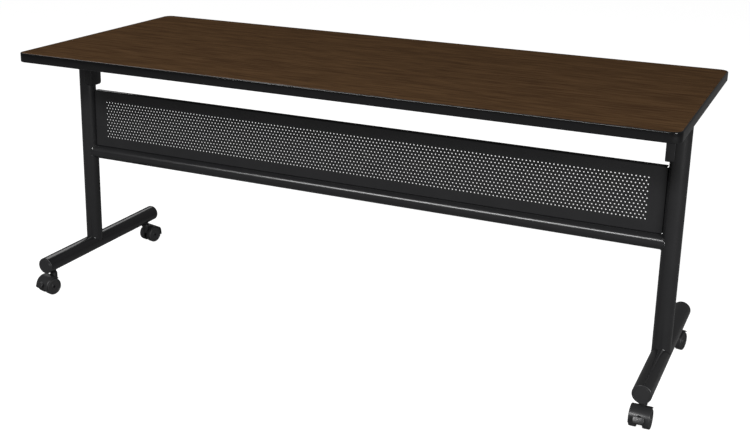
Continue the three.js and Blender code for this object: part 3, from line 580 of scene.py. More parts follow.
def prism(outline, place, low, high, bevel=0.8 * MM):
    """A flat outline given its thickness along its frame's Z, with its sharp edges rounded."""
    bm = bmesh.new()
    bottom = [bm.verts.new((x, y, low)) for x, y in outline]
    upper = [bm.verts.new((x, y, high)) for x, y in outline]
    bm.faces.new(reversed(bottom))
    bm.faces.new(upper)
    for index in range(len(outline)):
        following = (index + 1) % len(outline)
        bm.faces.new((bottom[index], bottom[following], upper[following], upper[index]))
    bmesh.ops.recalc_face_normals(bm, faces=bm.faces)
    sharp = [edge for edge in bm.edges if edge.calc_face_angle(0) > SMOOTH_BELOW]
    bmesh.ops.bevel(
        bm, geom=sharp, offset=bevel, segments=3, profile=0.5, affect="EDGES", clamp_overlap=True
    )
    return taken_out(bm, place)


def rod(radius, low, high, place):
    """A plain round rod along its frame's Z, used for drilling and inside joints."""
    return turned([(0, low), (radius, low), (radius, high), (0, high)], place)


def chamfered(radius, low, high, chamfer):
    """The side of a turned shape with its two edges broken."""
    side = [(radius - chamfer, low), (radius, low + chamfer)]
    return side + [(radius, high - chamfer), (radius - chamfer, high)]


def ring(bore, radius, low, high, place):
    """A round sleeve along its frame's Z with its outer edges broken."""
    outline = [(bore, low), *chamfered(radius, low, high, 0.4 * MM), (bore, high)]
    return turned(outline, place, round_trip=True)


def cut_edge(radius, cut, place):
    """The edge of a tube's end. Cut gives where the tube ends at a point (x, y) of its section."""
    return [place @ Vector((x, y, cut(x, y))) for x, y in circle(radius, TUBE_SIDES)]


def coped_tube(radius, start, end, place):
    """A tube along its frame's Z, with the cuts of its two ends."""
    bore = radius - TUBE_WALL
    edges = ((radius, start), (radius, end), (bore, end), (bore, start))
    return skin([cut_edge(reach, cut, place) for reach, cut in edges], round_trip=True)


def weld_bead(radius, cut, place, size):
    """A weld bead round a tube's cut end, with the ripples of its passes."""
    ripple, ripple_every, sides = 0.16, 3, 8
    path = cut_edge(radius, cut, place)
    outward = [place.to_3x3() @ Vector((x, y, 0)) for x, y in circle(1, TUBE_SIDES)]
    loops = []
    for index, point in enumerate(path):
        along = (path[(index + 1) % len(path)] - path[index - 1]).normalized()
        across = (outward[index] - along * outward[index].dot(along)).normalized()
        third = along.cross(across)
        reach = size * (1 + ripple * math.cos(2 * math.pi * index / ripple_every))
        loops.append([point + (across * x + third * y) * reach for x, y in circle(1, sides)])
    return skin(loops, round_trip=True)


def socket_screw(place, shank, shank_end, head, head_height, socket):
    """A round-headed screw along Z with its head's seat at 0 and a hexagon socket."""
    crown = head_height * 0.8
    socket_floor = head_height - head_height * 0.55
    lead_in, lead_depth = socket * 1.12, 0.2 * MM
    outline = [(0, shank_end), (shank, shank_end), (shank, 0), (head, 0)]
    outline += rounding(head, head_height, crown)
    outline += [
        (lead_in, head_height),
        (socket, head_height - lead_depth, hexagon),
        (socket, socket_floor, hexagon),
        (0, socket_floor),
    ]
    return turned(outline, place)


def drilled(shape, drills):
    """A closed shape with other closed shapes taken out of it."""
    made = [new_object("drilling", *tidied(each)) for each in (shape, *drills)]
    body = made[0]
    for drill in made[1:]:
        cut = body.modifiers.new("cut", "BOOLEAN")
        cut.operation = "DIFFERENCE"
        cut.solver = "EXACT"
        cut.object = drill
    result = body.evaluated_get(bpy.context.evaluated_depsgraph_get()).to_mesh()
    points = [vertex.co.copy() for vertex in result.vertices]
    faces = [tuple(face.vertices) for face in result.polygons]
    for thing in made:
        bpy.data.objects.remove(thing)
    return points, faces


# Frames on a leg


def inward_frame(side):
    """The frame of a leg: X from the column towards the table's middle, Y along the table's Y."""
    flip = Matrix.Scale(-SIDES[side], 4, (1, 0, 0))
    return Matrix.Translation((SIDES[side] * COLUMN_X, COLUMN_Y, 0)) @ flip


def across_leg(side):
    """A frame in which a drawing in Y and Z of a leg gets its thickness towards the table's middle."""
    return inward_frame(side) @ ALONG_X


def inward_rod_frame(side, v, z):
    """A frame on a leg with its origin on the column's plane and its Z towards the table's middle."""
    return axis_frame((SIDES[side] * COLUMN_X, COLUMN_Y + v, z), (-SIDES[side], 0, 0))


def pivot_frame(side):
    return inward_rod_frame(side, 0, PIVOT.z)


def lock_frame(side):
    return inward_rod_frame(side, LOCK_V, LOCK_Z)


def panel_screw_frame(side, level):
    """A frame whose Z runs along one of the panel's screws, from the column's plane inwards."""
    low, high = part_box(f"panel_screw_{level}_{side}")
    middle = (low + high) / 2
    return inward_rod_frame(side, middle.y - COLUMN_Y, middle.z)


# Operators


class PieceOperator(bpy.types.Operator):
    """Base of the operators that build pieces."""

    bl_options = {"REGISTER", "UNDO"}


def paint_node(name, material):
    """Gives a CAD node that is shown as it is its material."""
    node = frame["nodes"][name]
    node.data.materials.clear()
    node.data.materials.append(material)


class TABLE_OT_top(PieceOperator):
    """Builds the laminated top and its edge band."""

    bl_idname = "table.top"
    bl_label = "Top"

    def execute(self, context):
        self.edge_band()
        self.laminate()
        paint_node("top_core", particle_board())
        paint_node("underside_backer", backing_sheet())
        return {"FINISHED"}

    def outline(self, inset, height):
        """The top's outline in plan, drawn in from its edge."""
        corner = sizes().corner_radius
        x, y = TOP_HIGH.x - corner, TOP_HIGH.y - corner
        radius = corner - inset
        loop = []
        for quarter, (along, across) in enumerate(((1, 1), (-1, 1), (-1, -1), (1, -1))):
            for step in range(CORNER_STEPS + 1):
                angle = math.pi / 2 * (quarter + step / CORNER_STEPS)
                place = (along * x + radius * math.cos(angle), across * y + radius * math.sin(angle))
                loop.append(Vector((*place, height)))
        return loop

    def edge_band(self):
        arris, thickness = sizes().arris_radius, sizes().band_thickness
        lower, upper = [], []
        for angle in quarter_angles(BEND_STEPS):
            sine, cosine = arris * math.sin(angle), arris * math.cos(angle)
            lower.append((arris - sine, TOP_LOW.z + arris - cosine))
            upper.append((arris - cosine, TOP_HIGH.z - arris + sine))
        section = [(thickness, TOP_LOW.z), *lower, *upper, (thickness, TOP_HIGH.z)]
        loops = [self.outline(inset, height) for inset, height in section]
        Shell(skin(loops, round_trip=True)).piece("edge_band", edge_vinyl(), "edge", "top")

    def laminate(self):
        inset = sizes().band_thickness + SEAM
        broken = 0.15 * MM
        loops = [
            self.outline(inset, TOP_HIGH.z - sizes().laminate_thickness),
            self.outline(inset, TOP_HIGH.z - broken),
            self.outline(inset + broken, TOP_HIGH.z),
        ]
        Shell(skin(loops)).piece("top_laminate", walnut_laminate(), "laminate", "top")


class TABLE_OT_legs(PieceOperator):
    """Builds the columns and feet with their caps and welds."""

    bl_idname = "table.legs"
    bl_label = "Legs"

    def execute(self, context):
        for side in SIDES:
            self.column(side)
            self.column_cap(side)
            self.foot(side)
            for end, direction in (("front", -1), ("back", 1)):
                self.foot_cap(f"foot_cap_{end}_{side}", side, direction)
        return {"FINISHED"}

    def saddle(self, x, y):
        """Where a column is cut to sit on its foot."""
        return FOOT_HEIGHT + math.sqrt(max((LEG_RADIUS + SEAM) ** 2 - x**2, 0))

    def column(self, side):
        place = inward_frame(side)
        shell = Shell(coped_tube(LEG_RADIUS, self.saddle, lambda x, y: COLUMN_TOP, place))
        shell.add(self.head_block(side))
        boss_bore, boss_radius = 3 * MM, 7 * MM
        boss_start, boss_end = LEG_RADIUS - 3 * TUBE_WALL, COLUMN_X - PANEL_HIGH.x - SEAM
        for level in LEVELS:
            shell.add(ring(boss_bore, boss_radius, boss_start, boss_end, panel_screw_frame(side, level)))
        shell.add(weld_bead(LEG_RADIUS, self.saddle, place, sizes().weld_radius * 0.7))
        shell.piece(f"column_{side}", powder_coat(), "powder_coat", "base")

    def head_block(self, side):
        """The block that carries the pivot, with a wing for the lock."""
        low = PIVOT.z - 71 * MM
        wing = LOCK_V + LOCK_MARGIN
        wing_low, wing_high = LOCK_Z - LOCK_MARGIN, LOCK_Z + LOCK_MARGIN
        corner, inner = 8 * MM, 3 * MM
        outline = rounded_outline(
            [
                (-LEG_RADIUS, low, corner),
                (LEG_RADIUS, low, corner),
                (LEG_RADIUS, wing_low, inner),
                (wing, wing_low, corner),
                (wing, wing_high, corner),
                (LEG_RADIUS, wing_high, inner),
                (LEG_RADIUS, COLUMN_TOP, 0),
                (-LEG_RADIUS, COLUMN_TOP, 0),
            ]
        )
        inside, past = LEG_RADIUS * 0.4, HEAD_FACE + 5 * MM
        block = prism(outline, across_leg(side), inside, HEAD_FACE, bevel=1.2 * MM)
        pivot = rod(PIVOT_BOLT_RADIUS + SEAM, -LEG_RADIUS, past, pivot_frame(side))
        latch = rod(LOCK_PIN_RADIUS + 2 * SEAM, -LEG_RADIUS, past, lock_frame(side))
        return drilled(block, [pivot, latch])

    def column_cap(self, side):
        name = f"column_cap_{side}"
        place = inward_frame(side)
        rim, rim_edge = 2.5 * MM, 2.2 * MM
        seat = COLUMN_TOP + SEAM
        crown = seat + rim
        plug_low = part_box(name)[0].z
        outline = [(0, plug_low), (PLUG_RADIUS, plug_low), (PLUG_RADIUS, seat), (LEG_RADIUS, seat)]
        outline += rounding(LEG_RADIUS, crown, rim_edge)
        outline.append((0, crown))
        pad_half, pad_near, pad_far, pad_corner, pad_root = 8 * MM, 3 * MM, 12 * MM, 2 * MM, 1 * MM
        pad = rectangle(-pad_half, pad_near, pad_half, pad_far, pad_corner)
        shell = Shell(turned(outline, place, TUBE_SIDES))
        shell.add(prism(pad, place, crown - pad_root, FLANGE_BOTTOM - SEAM))
        shell.piece(name, moulded_nylon(), "nylon", "base")

    def foot(self, side):
        name = f"foot_{side}"
        place = Matrix.Translation((SIDES[side] * COLUMN_X, 0, FOOT_HEIGHT)) @ ALONG_Y
        low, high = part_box(name)
        tube = coped_tube(LEG_RADIUS, lambda x, y: low.y, lambda x, y: high.y, place)
        Shell(tube).piece(name, powder_coat(), "powder_coat", "base")

    def foot_cap(self, name, side, direction):
        """A plug cap with a rounded edge and a shallow ring in its face."""
        low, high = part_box(name)
        thick = high.y - low.y
        start = low.y if direction > 0 else high.y
        place = axis_frame((SIDES[side] * COLUMN_X, start, FOOT_HEIGHT), (0, direction, 0))
        flange, edge = 2.7 * MM, 1.8 * MM
        seat = thick - flange
        groove_depth, groove_slope, groove_floor = 0.5 * MM, 0.4 * MM, 1 * MM
        groove_outer = LEG_RADIUS - 4.4 * MM
        floor_outer = groove_outer - groove_slope
        floor_inner = floor_outer - groove_floor
        outline = [(0, 0), (PLUG_RADIUS, 0), (PLUG_RADIUS, seat), (LEG_RADIUS, seat)]
        outline += rounding(LEG_RADIUS, thick, edge)
        outline += [
            (groove_outer, thick),
            (floor_outer, thick - groove_depth),
            (floor_inner, thick - groove_depth),
            (floor_inner - groove_slope, thick),
            (0, thick),
        ]
        Shell(turned(outline, place, TUBE_SIDES)).piece(name, moulded_nylon(), "nylon", "base")


class TABLE_OT_beam(PieceOperator):
    """Builds the cross beam and the welds that hold it."""

    bl_idname = "table.beam"
    bl_label = "Cross beam"

    def execute(self, context):
        def end(across, height):
            return COLUMN_X - math.sqrt((LEG_RADIUS + SEAM) ** 2 - across**2)

        def start(across, height):
            return -end(across, height)

        place = Matrix.Translation((0, COLUMN_Y, BEAM_HEIGHT)) @ ALONG_X
        tube = coped_tube(BEAM_RADIUS, start, end, place)
        Shell(tube).piece("cross_beam", powder_coat(), "powder_coat", "base")
        welds = [weld_bead(BEAM_RADIUS, cut, place, sizes().weld_radius) for cut in (start, end)]
        Shell(*welds).piece("beam_welds", painted_weld(), "powder_coat", "base", replaces=False)
        return {"FINISHED"}


class TABLE_OT_panel(PieceOperator):
    """Builds the folded modesty panel with its field of holes, and its screws."""

    bl_idname = "table.panel"
    bl_label = "Modesty panel"

    # Parts of a cell's long side, and as many points round its hole as the cell's border then has
    quarters = 4
    hole_points = 2 * (quarters + 2)

    # Largest reach of the field of holes to each side of the table's middle
    field_reach = 814.7 * MM

    def execute(self, context):
        shell = Shell()
        self.field(shell)
        self.folds(shell)
        shell.piece("modesty_panel", powder_coat(), "powder_coat", "base")
        for side in SIDES:
            for level in LEVELS:
                self.screw(side, level)
        return {"FINISHED"}

    def flat(self):
        """Where the flat face ends and the folds begin: half of its length, its low and its high edge."""
        fold = sizes().bend_radius
        return PANEL_HIGH.x - fold, PANEL_LOW.z + fold, PANEL_HIGH.z - fold

    def field(self, shell):
        """The flat face: cells with a hole each, in staggered rows, and the plain margins round them."""
        pitch, rows = sizes().hole_pitch, sizes().hole_rows
        row_height = pitch * math.sqrt(3) / 2
        count = int(2 * self.field_reach / pitch)
        left = -count * pitch / 2
        bottom = (PANEL_LOW.z + PANEL_HIGH.z - rows * row_height) / 2
        top = bottom + rows * row_height
        edge_x, low_z, high_z = self.flat()
        plain = [(-edge_x, low_z, edge_x, bottom), (-edge_x, top, edge_x, high_z)]
        plain += [(-edge_x, bottom, left, top), (-left, bottom, edge_x, top)]
        cells = []
        for row in range(rows):
            low = bottom + row * row_height
            shift = row % 2 * pitch / 2
            for number in range(count - row % 2):
                cells.append(self.cell(left + shift + number * pitch, low, pitch, row_height))
            if shift:
                plain.append((left, low, left + shift, low + row_height))
                plain.append((-left - shift, low, -left, low + row_height))
        shell.add(joined(cells))
        back = PANEL_LOW.y + sizes().sheet_thickness
        for x0, z0, x1, z1 in plain:
            corners = ((x0, z0), (x1, z0), (x1, z1), (x0, z1))
            shell.add(skin([[Vector((x, y, z)) for x, z in corners] for y in (PANEL_LOW.y, back)]))

    def cell(self, x0, z0, width, height):
        """One cell of sheet with a hole through its middle."""
        front = PANEL_LOW.y
        back = front + sizes().sheet_thickness
        centre_x, centre_z = x0 + width / 2, z0 + height / 2
        along = [x0 + width * step / self.quarters for step in range(self.quarters + 1)]
        border = [(x0 + width, centre_z)]
        border += [(x, z0 + height) for x in reversed(along)]
        border += [(x0, centre_z)]
        border += [(x, z0) for x in along]
        rim = circle(sizes().hole_diameter / 2, self.hole_points)
        hole = [(centre_x + x, centre_z + z) for x, z in rim]
        loops = [
            [Vector((x, y, z)) for x, z in outline]
            for outline, y in ((border, front), (hole, front), (hole, back), (border, back))
        ]
        points, faces = skin(loops)
        return points, faces[:-2]

    def folds(self, shell):
        """The four flanges, each folded back from the flat face."""
        fold, sheet = sizes().bend_radius, sizes().sheet_thickness
        depth = PANEL_HIGH.y - PANEL_LOW.y
        outer, inner = [], []
        for angle in quarter_angles(BEND_STEPS):
            for line, radius in ((outer, fold), (inner, fold - sheet)):
                line.append((radius * math.sin(angle), fold - radius * math.cos(angle)))
        section = [*outer, (fold, depth), (fold - sheet, depth), *reversed(inner)]
        edge_x, low_z, high_z = self.flat()
        for direction, edge in ((1, high_z), (-1, low_z)):
            loops = [
                [Vector((x, PANEL_LOW.y + back, edge + direction * out)) for out, back in section]
                for x in (-edge_x, edge_x)
            ]
            shell.add(skin(loops))
        for direction in (1, -1):
            loops = [
                [Vector((direction * (edge_x + out), PANEL_LOW.y + back, z)) for out, back in section]
                for z in (low_z, high_z)
            ]
            shell.add(skin(loops))

    def screw(self, side, level):
        name = f"panel_screw_{level}_{side}"
        low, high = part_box(name)
        head, head_height, shank, socket = 5.5 * MM, 3.5 * MM, 2.7 * MM, 2.2 * MM
        inner_end = COLUMN_X - min(abs(low.x), abs(high.x))
        length = high.x - low.x
        place = panel_screw_frame(side, level) @ Matrix.Translation((0, 0, inner_end - head_height))
        screw = socket_screw(place, shank, head_height - length, head, head_height, socket)
        Shell(screw).piece(name, zinc_plate(), "zinc", "base")


class TABLE_OT_hinges(PieceOperator):
    """Builds the flip hinges: brackets, bushes, pivot bolts and screws."""

    bl_idname = "table.hinges"
    bl_label = "Flip hinges"

    def execute(self, context):
        for side in SIDES:
            self.bracket(side)
            self.pivot_bolt(side)
            self.pivot_bush(side)
            for number in (1, 2, 3):
                self.screw(f"bracket_screw_{side}_{number}")
        return {"FINISHED"}

    def bracket(self, side):
        """A plate under the top with a web, a stop lip and the lock's sleeve welded to it."""
        place = inward_frame(side)
        reach_in = COLUMN_X - BRACKET_LOW.x
        reach_out = COLUMN_X - BRACKET_HIGH.x
        half, corner = (BRACKET_HIGH.y - BRACKET_LOW.y) / 2, 10 * MM
        plate = rectangle(reach_out, -half, reach_in, half, corner)
        lip_half, lip_near = 10 * MM, 40 * MM
        lip = rectangle(-lip_half, -lip_near - PLATE, lip_half, -lip_near, 0)
        shell = Shell(prism(plate, place, FLANGE_BOTTOM, FLANGE_TOP), self.web(side))
        shell.add(prism(lip, place, PIVOT.z + LEG_RADIUS + SEAM, FLANGE_TOP))
        shell.add(self.sleeve(side))
        shell.piece(f"hinge_bracket_{side}", powder_coat(), "powder_coat", "top")

    def web(self, side):
        """The plate that hangs from the bracket round the pivot and the lock."""
        front, knee, toe, back = -40 * MM, -19 * MM, -6 * MM, LOCK_V + LOCK_MARGIN
        knee_drop, toe_drop = 12 * MM, 19 * MM
        bend, heel = 6 * MM, 15 * MM
        outline = rounded_outline(
            [
                (front, FLANGE_TOP, 0),
                (knee, PIVOT.z - knee_drop, bend),
                (toe, PIVOT.z - toe_drop, bend),
                (back, LOCK_Z - LOCK_MARGIN, heel),
                (back, FLANGE_TOP, 0),
            ]
        )
        plate = prism(outline, across_leg(side), WEB_FACE, WEB_BACK)
        low, high = WEB_FACE - PLATE, WEB_BACK + PLATE
        bush = rod(BUSH_RADIUS + SEAM, low, high, pivot_frame(side))
        pin = rod(LOCK_PIN_RADIUS + SEAM, low, high, lock_frame(side))
        return drilled(plate, [bush, pin])

    def sleeve(self, side):
        """The sleeve that holds the lock's spring, with an end that guides the pin."""
        bore, end_wall, root, edge = LOCK_PIN_RADIUS + SEAM, 2 * MM, 1 * MM, 1 * MM
        start, rim = WEB_BACK - root, SLEEVE_FACE - end_wall
        outline = [(bore, rim), (LOCK_SLEEVE_BORE, rim)]
        outline += [(LOCK_SLEEVE_BORE, start), (LOCK_SLEEVE_RADIUS, start)]
        outline += rounding(LOCK_SLEEVE_RADIUS, SLEEVE_FACE, edge)
        outline.append((bore, SLEEVE_FACE))
        return turned(outline, lock_frame(side), round_trip=True)

    def pivot_bolt(self, side):
        length, head, head_height, socket = 46 * MM, 11 * MM, 6 * MM, 4 * MM
        place = pivot_frame(side) @ Matrix.Translation((0, 0, WEB_BACK + SEAM))
        bolt = socket_screw(place, PIVOT_BOLT_RADIUS, -length, head, head_height, socket)
        Shell(bolt).piece(f"pivot_bolt_{side}", zinc_plate(), "zinc", "base")

    def pivot_bush(self, side):
        bore = PIVOT_BOLT_RADIUS + SEAM
        start = HEAD_FACE + SEAM
        flange = start + 1 * MM
        outline = [(bore, start), (BUSH_FLANGE_RADIUS, start), (BUSH_FLANGE_RADIUS, flange)]
        outline += [(BUSH_RADIUS, flange), (BUSH_RADIUS, WEB_BACK), (bore, WEB_BACK)]
        bush = turned(outline, pivot_frame(side), round_trip=True)
        Shell(bush).piece(f"pivot_bush_{side}", moulded_nylon(), "nylon", "top")

    def screw(self, name):
        low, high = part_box(name)
        middle = (low + high) / 2
        head, head_height, shank, socket = 5 * MM, 3 * MM, 2.5 * MM, 2 * MM
        seat = low.z + head_height
        place = axis_frame((middle.x, middle.y, seat), (0, 0, -1))
        screw = socket_screw(place, shank, seat - high.z, head, head_height, socket)
        Shell(screw).piece(name, zinc_plate(), "zinc", "top")


class TABLE_OT_locks(PieceOperator):
    """Builds the lock pins, their knobs and their springs."""

    bl_idname = "table.locks"
    bl_label = "Top locks"

    def execute(self, context):
        for side in SIDES:
            self.pin(side)
            self.knob(side)
            self.spring(side)
        return {"FINISHED"}

    def pin(self, side):
        radius, chamfer = LOCK_PIN_RADIUS, 1 * MM
        collar, collar_length = 6.2 * MM, 2 * MM
        collar_end = SPRING_START - SEAM
        collar_start = collar_end - collar_length
        outline = [(0, PIN_TIP), (radius - chamfer, PIN_TIP), (radius, PIN_TIP + chamfer)]
        outline += [(radius, collar_start), (collar, collar_start), (collar, collar_end)]
        outline += [(radius, collar_end), (radius, KNOB_START), (0, KNOB_START)]
        name = f"lock_pin_{side}"
        Shell(turned(outline, lock_frame(side))).piece(name, zinc_plate(), "zinc", name)

    def knob(self, side):
        """The fluted knob on the pin's end, with a waist and a domed face."""
        flutes, flute_depth, steps_in_flute = sizes().knob_flutes, 0.07, 8

        def fluted(angle):
            return 1 - flute_depth * (0.5 + 0.5 * math.cos(flutes * angle))

        waist, waist_length, shoulder_length = 8 * MM, 2 * MM, 5.5 * MM
        edge, dome, dome_rim = 3 * MM, 3 * MM, 1 * MM
        outline = [(0, KNOB_START), (waist, KNOB_START), (waist, KNOB_START + waist_length)]
        for along in (KNOB_START + shoulder_length, KNOB_END - edge):
            outline.append((KNOB_RADIUS, along, fluted))
        outline += [(KNOB_RADIUS - dome_rim, KNOB_END - dome_rim), (KNOB_RADIUS - dome, KNOB_END)]
        outline.append((0, KNOB_END))
        knob = turned(outline, lock_frame(side), sides=flutes * steps_in_flute)
        body = f"lock_pin_{side}"
        Shell(knob).piece(f"lock_knob_{side}", moulded_nylon(), "nylon", body, replaces=False)

    def spring(self, side):
        at = lock_frame(side)
        coils, coil_steps, coil, wire, wire_sides = 3, 20, 5.4 * MM, 0.7 * MM, 8
        length = SPRING_END - SPRING_START - 2 * wire
        steps = coils * coil_steps
        loops = []
        for step in range(steps + 1):
            angle = 2 * math.pi * coils * step / steps
            along = SPRING_START + wire + length * step / steps
            outward = Vector((math.cos(angle), math.sin(angle), 0))
            middle = outward * coil + UP * along
            section = circle(1, wire_sides)
            loops.append([at @ (middle + (outward * x + UP * y) * wire) for x, y in section])
        Shell(skin(loops)).piece(f"lock_spring_{side}", zinc_plate(), "zinc", "top")


class TABLE_OT_casters(PieceOperator):
    """Builds the casters: stems, hoods, axles, wheels and brake pedals."""

    bl_idname = "table.casters"
    bl_label = "Casters"

    # Sizes across a caster, from its middle plane
    web_half = 7.5 * MM
    slot_half = 4.1 * MM
    wheel_inner = 8 * MM
    wheel_outer = 25.5 * MM
    axle_radius = 4 * MM

    # Sizes of the hood from the axle, and the angles in degrees at which it ends
    hood_inner = 26.6 * MM
    hood_outer = 29.6 * MM
    hood_back = -12
    hood_front = 125

    def execute(self, context):
        for name in CASTERS:
            self.measure(name)
            self.hood(name)
            self.axle(name)
            self.stem(name)
            self.pedal(name)
            for wheel, direction in (("near", -1), ("far", 1)):
                self.wheel(name, wheel, direction)
        return {"FINISHED"}

    def measure(self, name):
        """The caster's own frame: Z up the stem, X to the trailing side and Y along the axle."""
        stem = Vector(JOINTS[f"swivel_{name}"]["pos_m"])
        axle = Vector(JOINTS[f"spin_near_{name}"]["pos_m"])
        along = Vector(JOINTS[f"spin_near_{name}"]["axis"])
        trailing = Vector((axle.x - stem.x, axle.y - stem.y, 0))
        self.trail = trailing.length
        self.axle_height = axle.z
        self.hood_top = stem.z
        turn = Matrix((trailing.normalized(), along, UP)).transposed()
        self.place = Matrix.Translation((stem.x, stem.y, 0)) @ turn.to_4x4()
        self.across = self.place @ ALONG_Y
        self.on_axle = self.place @ Matrix.Translation((self.trail, 0, self.axle_height)) @ ALONG_Y
        self.pedal_pivot = self.place.inverted() @ Vector(JOINTS[f"brake_{name}"]["pos_m"])

    def around_axle(self, radius, start, end):
        """An arc round the axle, in a drawing across the caster."""
        return arc(self.trail, self.axle_height, radius, start, end)

    def hood(self, name):
        """The cover, its two cheeks, the core between them and the boss that turns on the stem."""
        shell = Shell(self.hood_shell())
        middle = (self.hood_inner + self.hood_outer) / 2
        neck_half, neck_top = 8.5 * MM, self.hood_top - 2 * MM
        neck_foot = self.axle_height + 8 * MM
        neck = [
            Vector(corner)
            for corner in ((neck_half, neck_top), (-neck_half, neck_top), (-neck_half, neck_foot))
        ]
        axle_boss, boss_start, boss_end = 8.8 * MM, 162, 306
        underside = self.around_axle(axle_boss, boss_start, boss_end)
        cheek = self.around_axle(middle, self.hood_back, self.hood_front) + neck + underside
        for low, high in ((-self.web_half, -self.slot_half), (self.slot_half, self.web_half)):
            shell.add(prism(cheek, self.across, low, high, bevel=0.6 * MM))
        slot_start = self.pedal_pivot.x - 7 * MM
        slot_angle = math.degrees(math.acos((slot_start - self.trail) / middle))
        core = self.around_axle(middle, slot_angle, self.hood_front)
        core += neck + underside + [Vector((slot_start, underside[-1].y))]
        shell.add(prism(core, self.across, -self.slot_half, self.slot_half, bevel=0.1 * MM))
        boss, boss_edge, socket = 10.5 * MM, 2 * MM, 4.8 * MM
        boss_low = self.axle_height + self.hood_inner
        outline = [(socket, boss_low), (boss, boss_low)]
        outline += rounding(boss, self.hood_top, boss_edge)
        outline.append((socket, self.hood_top))
        shell.add(turned(outline, self.place, round_trip=True))
        shell.piece(f"caster_hood_{name}", moulded_nylon(), "nylon", f"caster_{name}")

    def hood_shell(self):
        """The curved cover over both wheels, with rounded sides."""
        half, soft, soft_steps, arc_steps = self.wheel_outer, 2.6 * MM, 5, 36
        rounded = [
            (half - soft + soft * math.cos(angle), self.hood_outer - soft + soft * math.sin(angle))
            for angle in quarter_angles(soft_steps)
        ]
        section = [(-half, self.hood_inner), *((-side, reach) for side, reach in rounded)]
        section += [*reversed(rounded), (half, self.hood_inner)]
        loops = []
        for step in range(arc_steps + 1):
            angle = math.radians(self.hood_back + (self.hood_front - self.hood_back) * step / arc_steps)
            loop = []
            for across, reach in section:
                x = self.trail + reach * math.cos(angle)
                z = self.axle_height + reach * math.sin(angle)
                loop.append(self.place @ Vector((x, across, z)))
            loops.append(loop)
        return skin(loops)

    def axle(self, name):
        half, chamfer = self.wheel_outer - 2 * MM, 0.6 * MM
        outline = [(0, -half), *chamfered(self.axle_radius, -half, half, chamfer), (0, half)]
        shell = Shell(turned(outline, self.on_axle))
        shell.piece(f"caster_axle_{name}", dark_steel(), "zinc", f"caster_{name}")

    def wheel(self, name, side, direction):
        """A wheel with a crowned tread, a recessed disc and a hub."""
        radius, sides = self.axle_height, 56
        inner, outer = self.wheel_inner, self.wheel_outer
        bore = self.axle_radius + SEAM
        edge, shoulder = 1 * MM, 3.2 * MM
        rim, rim_foot, disc = 19.5 * MM, 18.8 * MM, outer - 1.6 * MM
        hub, hub_foot, hub_face = 8.2 * MM, 9 * MM, outer - 0.4 * MM
        outline = [(bore, inner), (radius - edge, inner)]
        outline += [(radius - 0.3 * edge, inner + 0.7 * edge), (radius, inner + 2 * edge)]
        outline += rounding(radius, outer, shoulder)
        outline += [(rim, outer), (rim_foot, disc), (hub_foot, disc), (hub, hub_face), (bore, hub_face)]
        placed = [(reach, along * direction) for reach, along in outline]
        shell = Shell(turned(placed, self.on_axle, sides=sides, round_trip=True))
        shell.piece(f"caster_wheel_{side}_{name}", wheel_tread(), "wheel", f"wheel_{side}_{name}")

    def stem(self, name):
        node = f"caster_stem_{name}"
        low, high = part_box(node)
        neck, collar, grip, chamfer = 4.5 * MM, 8 * MM, 5.5 * MM, 1 * MM
        collar_low = self.hood_top + SEAM
        collar_high = FOOT_LOW.z - SEAM
        outline = [(0, low.z), (neck, low.z), (neck, collar_low)]
        outline += chamfered(collar, collar_low, collar_high, chamfer)
        outline += [(grip, collar_high), (grip, high.z), (0, high.z)]
        Shell(turned(outline, self.place)).piece(node, dark_steel(), "zinc", "base")

    def pedal(self, name):
        """The brake pedal: a ribbed pad on an arm that turns in the hood."""
        pivot = Vector((self.pedal_pivot.x, self.pedal_pivot.z))
        top_angle, top_gap, tip_angle, tip_gap = 25, 4 * MM, 1.5, 8.5 * MM
        pad_top = self.around_axle(self.hood_outer + top_gap, top_angle, top_angle)[0]
        pad_tip = self.around_axle(self.hood_outer + tip_gap, tip_angle, tip_angle)[0]
        length = (pad_tip - pad_top).length
        down = (pad_tip - pad_top).normalized()
        out = Vector((-down.y, down.x))
        pad_turn = Matrix(((down.x, 0, out.x), (0, 1, 0), (down.y, 0, out.y)))
        pad_place = self.place @ Matrix.Translation((pad_top.x, 0, pad_top.y)) @ pad_turn.to_4x4()
        thick, half, soft, broad = 3.5 * MM, 13 * MM, 2 * MM, 6 * MM
        corners = [(0, -half, soft), (length, -half, broad), (length, half, broad), (0, half, soft)]
        shell = Shell(prism(rounded_outline(corners), pad_place, 0, thick, bevel=1 * MM))
        rib_every, rib, rib_half, rib_height = 3.2 * MM, 1.1 * MM, 8 * MM, 0.5 * MM
        for number in (1, 2, 3):
            start = number * rib_every
            outline = rectangle(start, -rib_half, start + rib, rib_half, rib * 0.45)
            shell.add(prism(outline, pad_place, thick - rib_height, thick + rib_height, bevel=0.3 * MM))
        barrel, arm_half, pin = 3.4 * MM, 3.8 * MM, 2 * MM
        arm = [
            pivot + Vector((0, -barrel)),
            pad_top + Vector((out.x, -out.y)) * thick,
            pad_top + out * thick * 0.8,
            pivot + Vector((0, barrel)),
        ]
        shell.add(prism(arm, self.across, -arm_half, arm_half, bevel=0.5 * MM))
        at = self.place @ Matrix.Translation((pivot.x, 0, pivot.y)) @ ALONG_Y
        shell.add(rod(barrel, -arm_half, arm_half, at))
        shell.add(rod(pin, -self.web_half, self.web_half, at))
        shell.piece(f"brake_pedal_{name}", moulded_nylon(), "nylon", f"pedal_{name}")


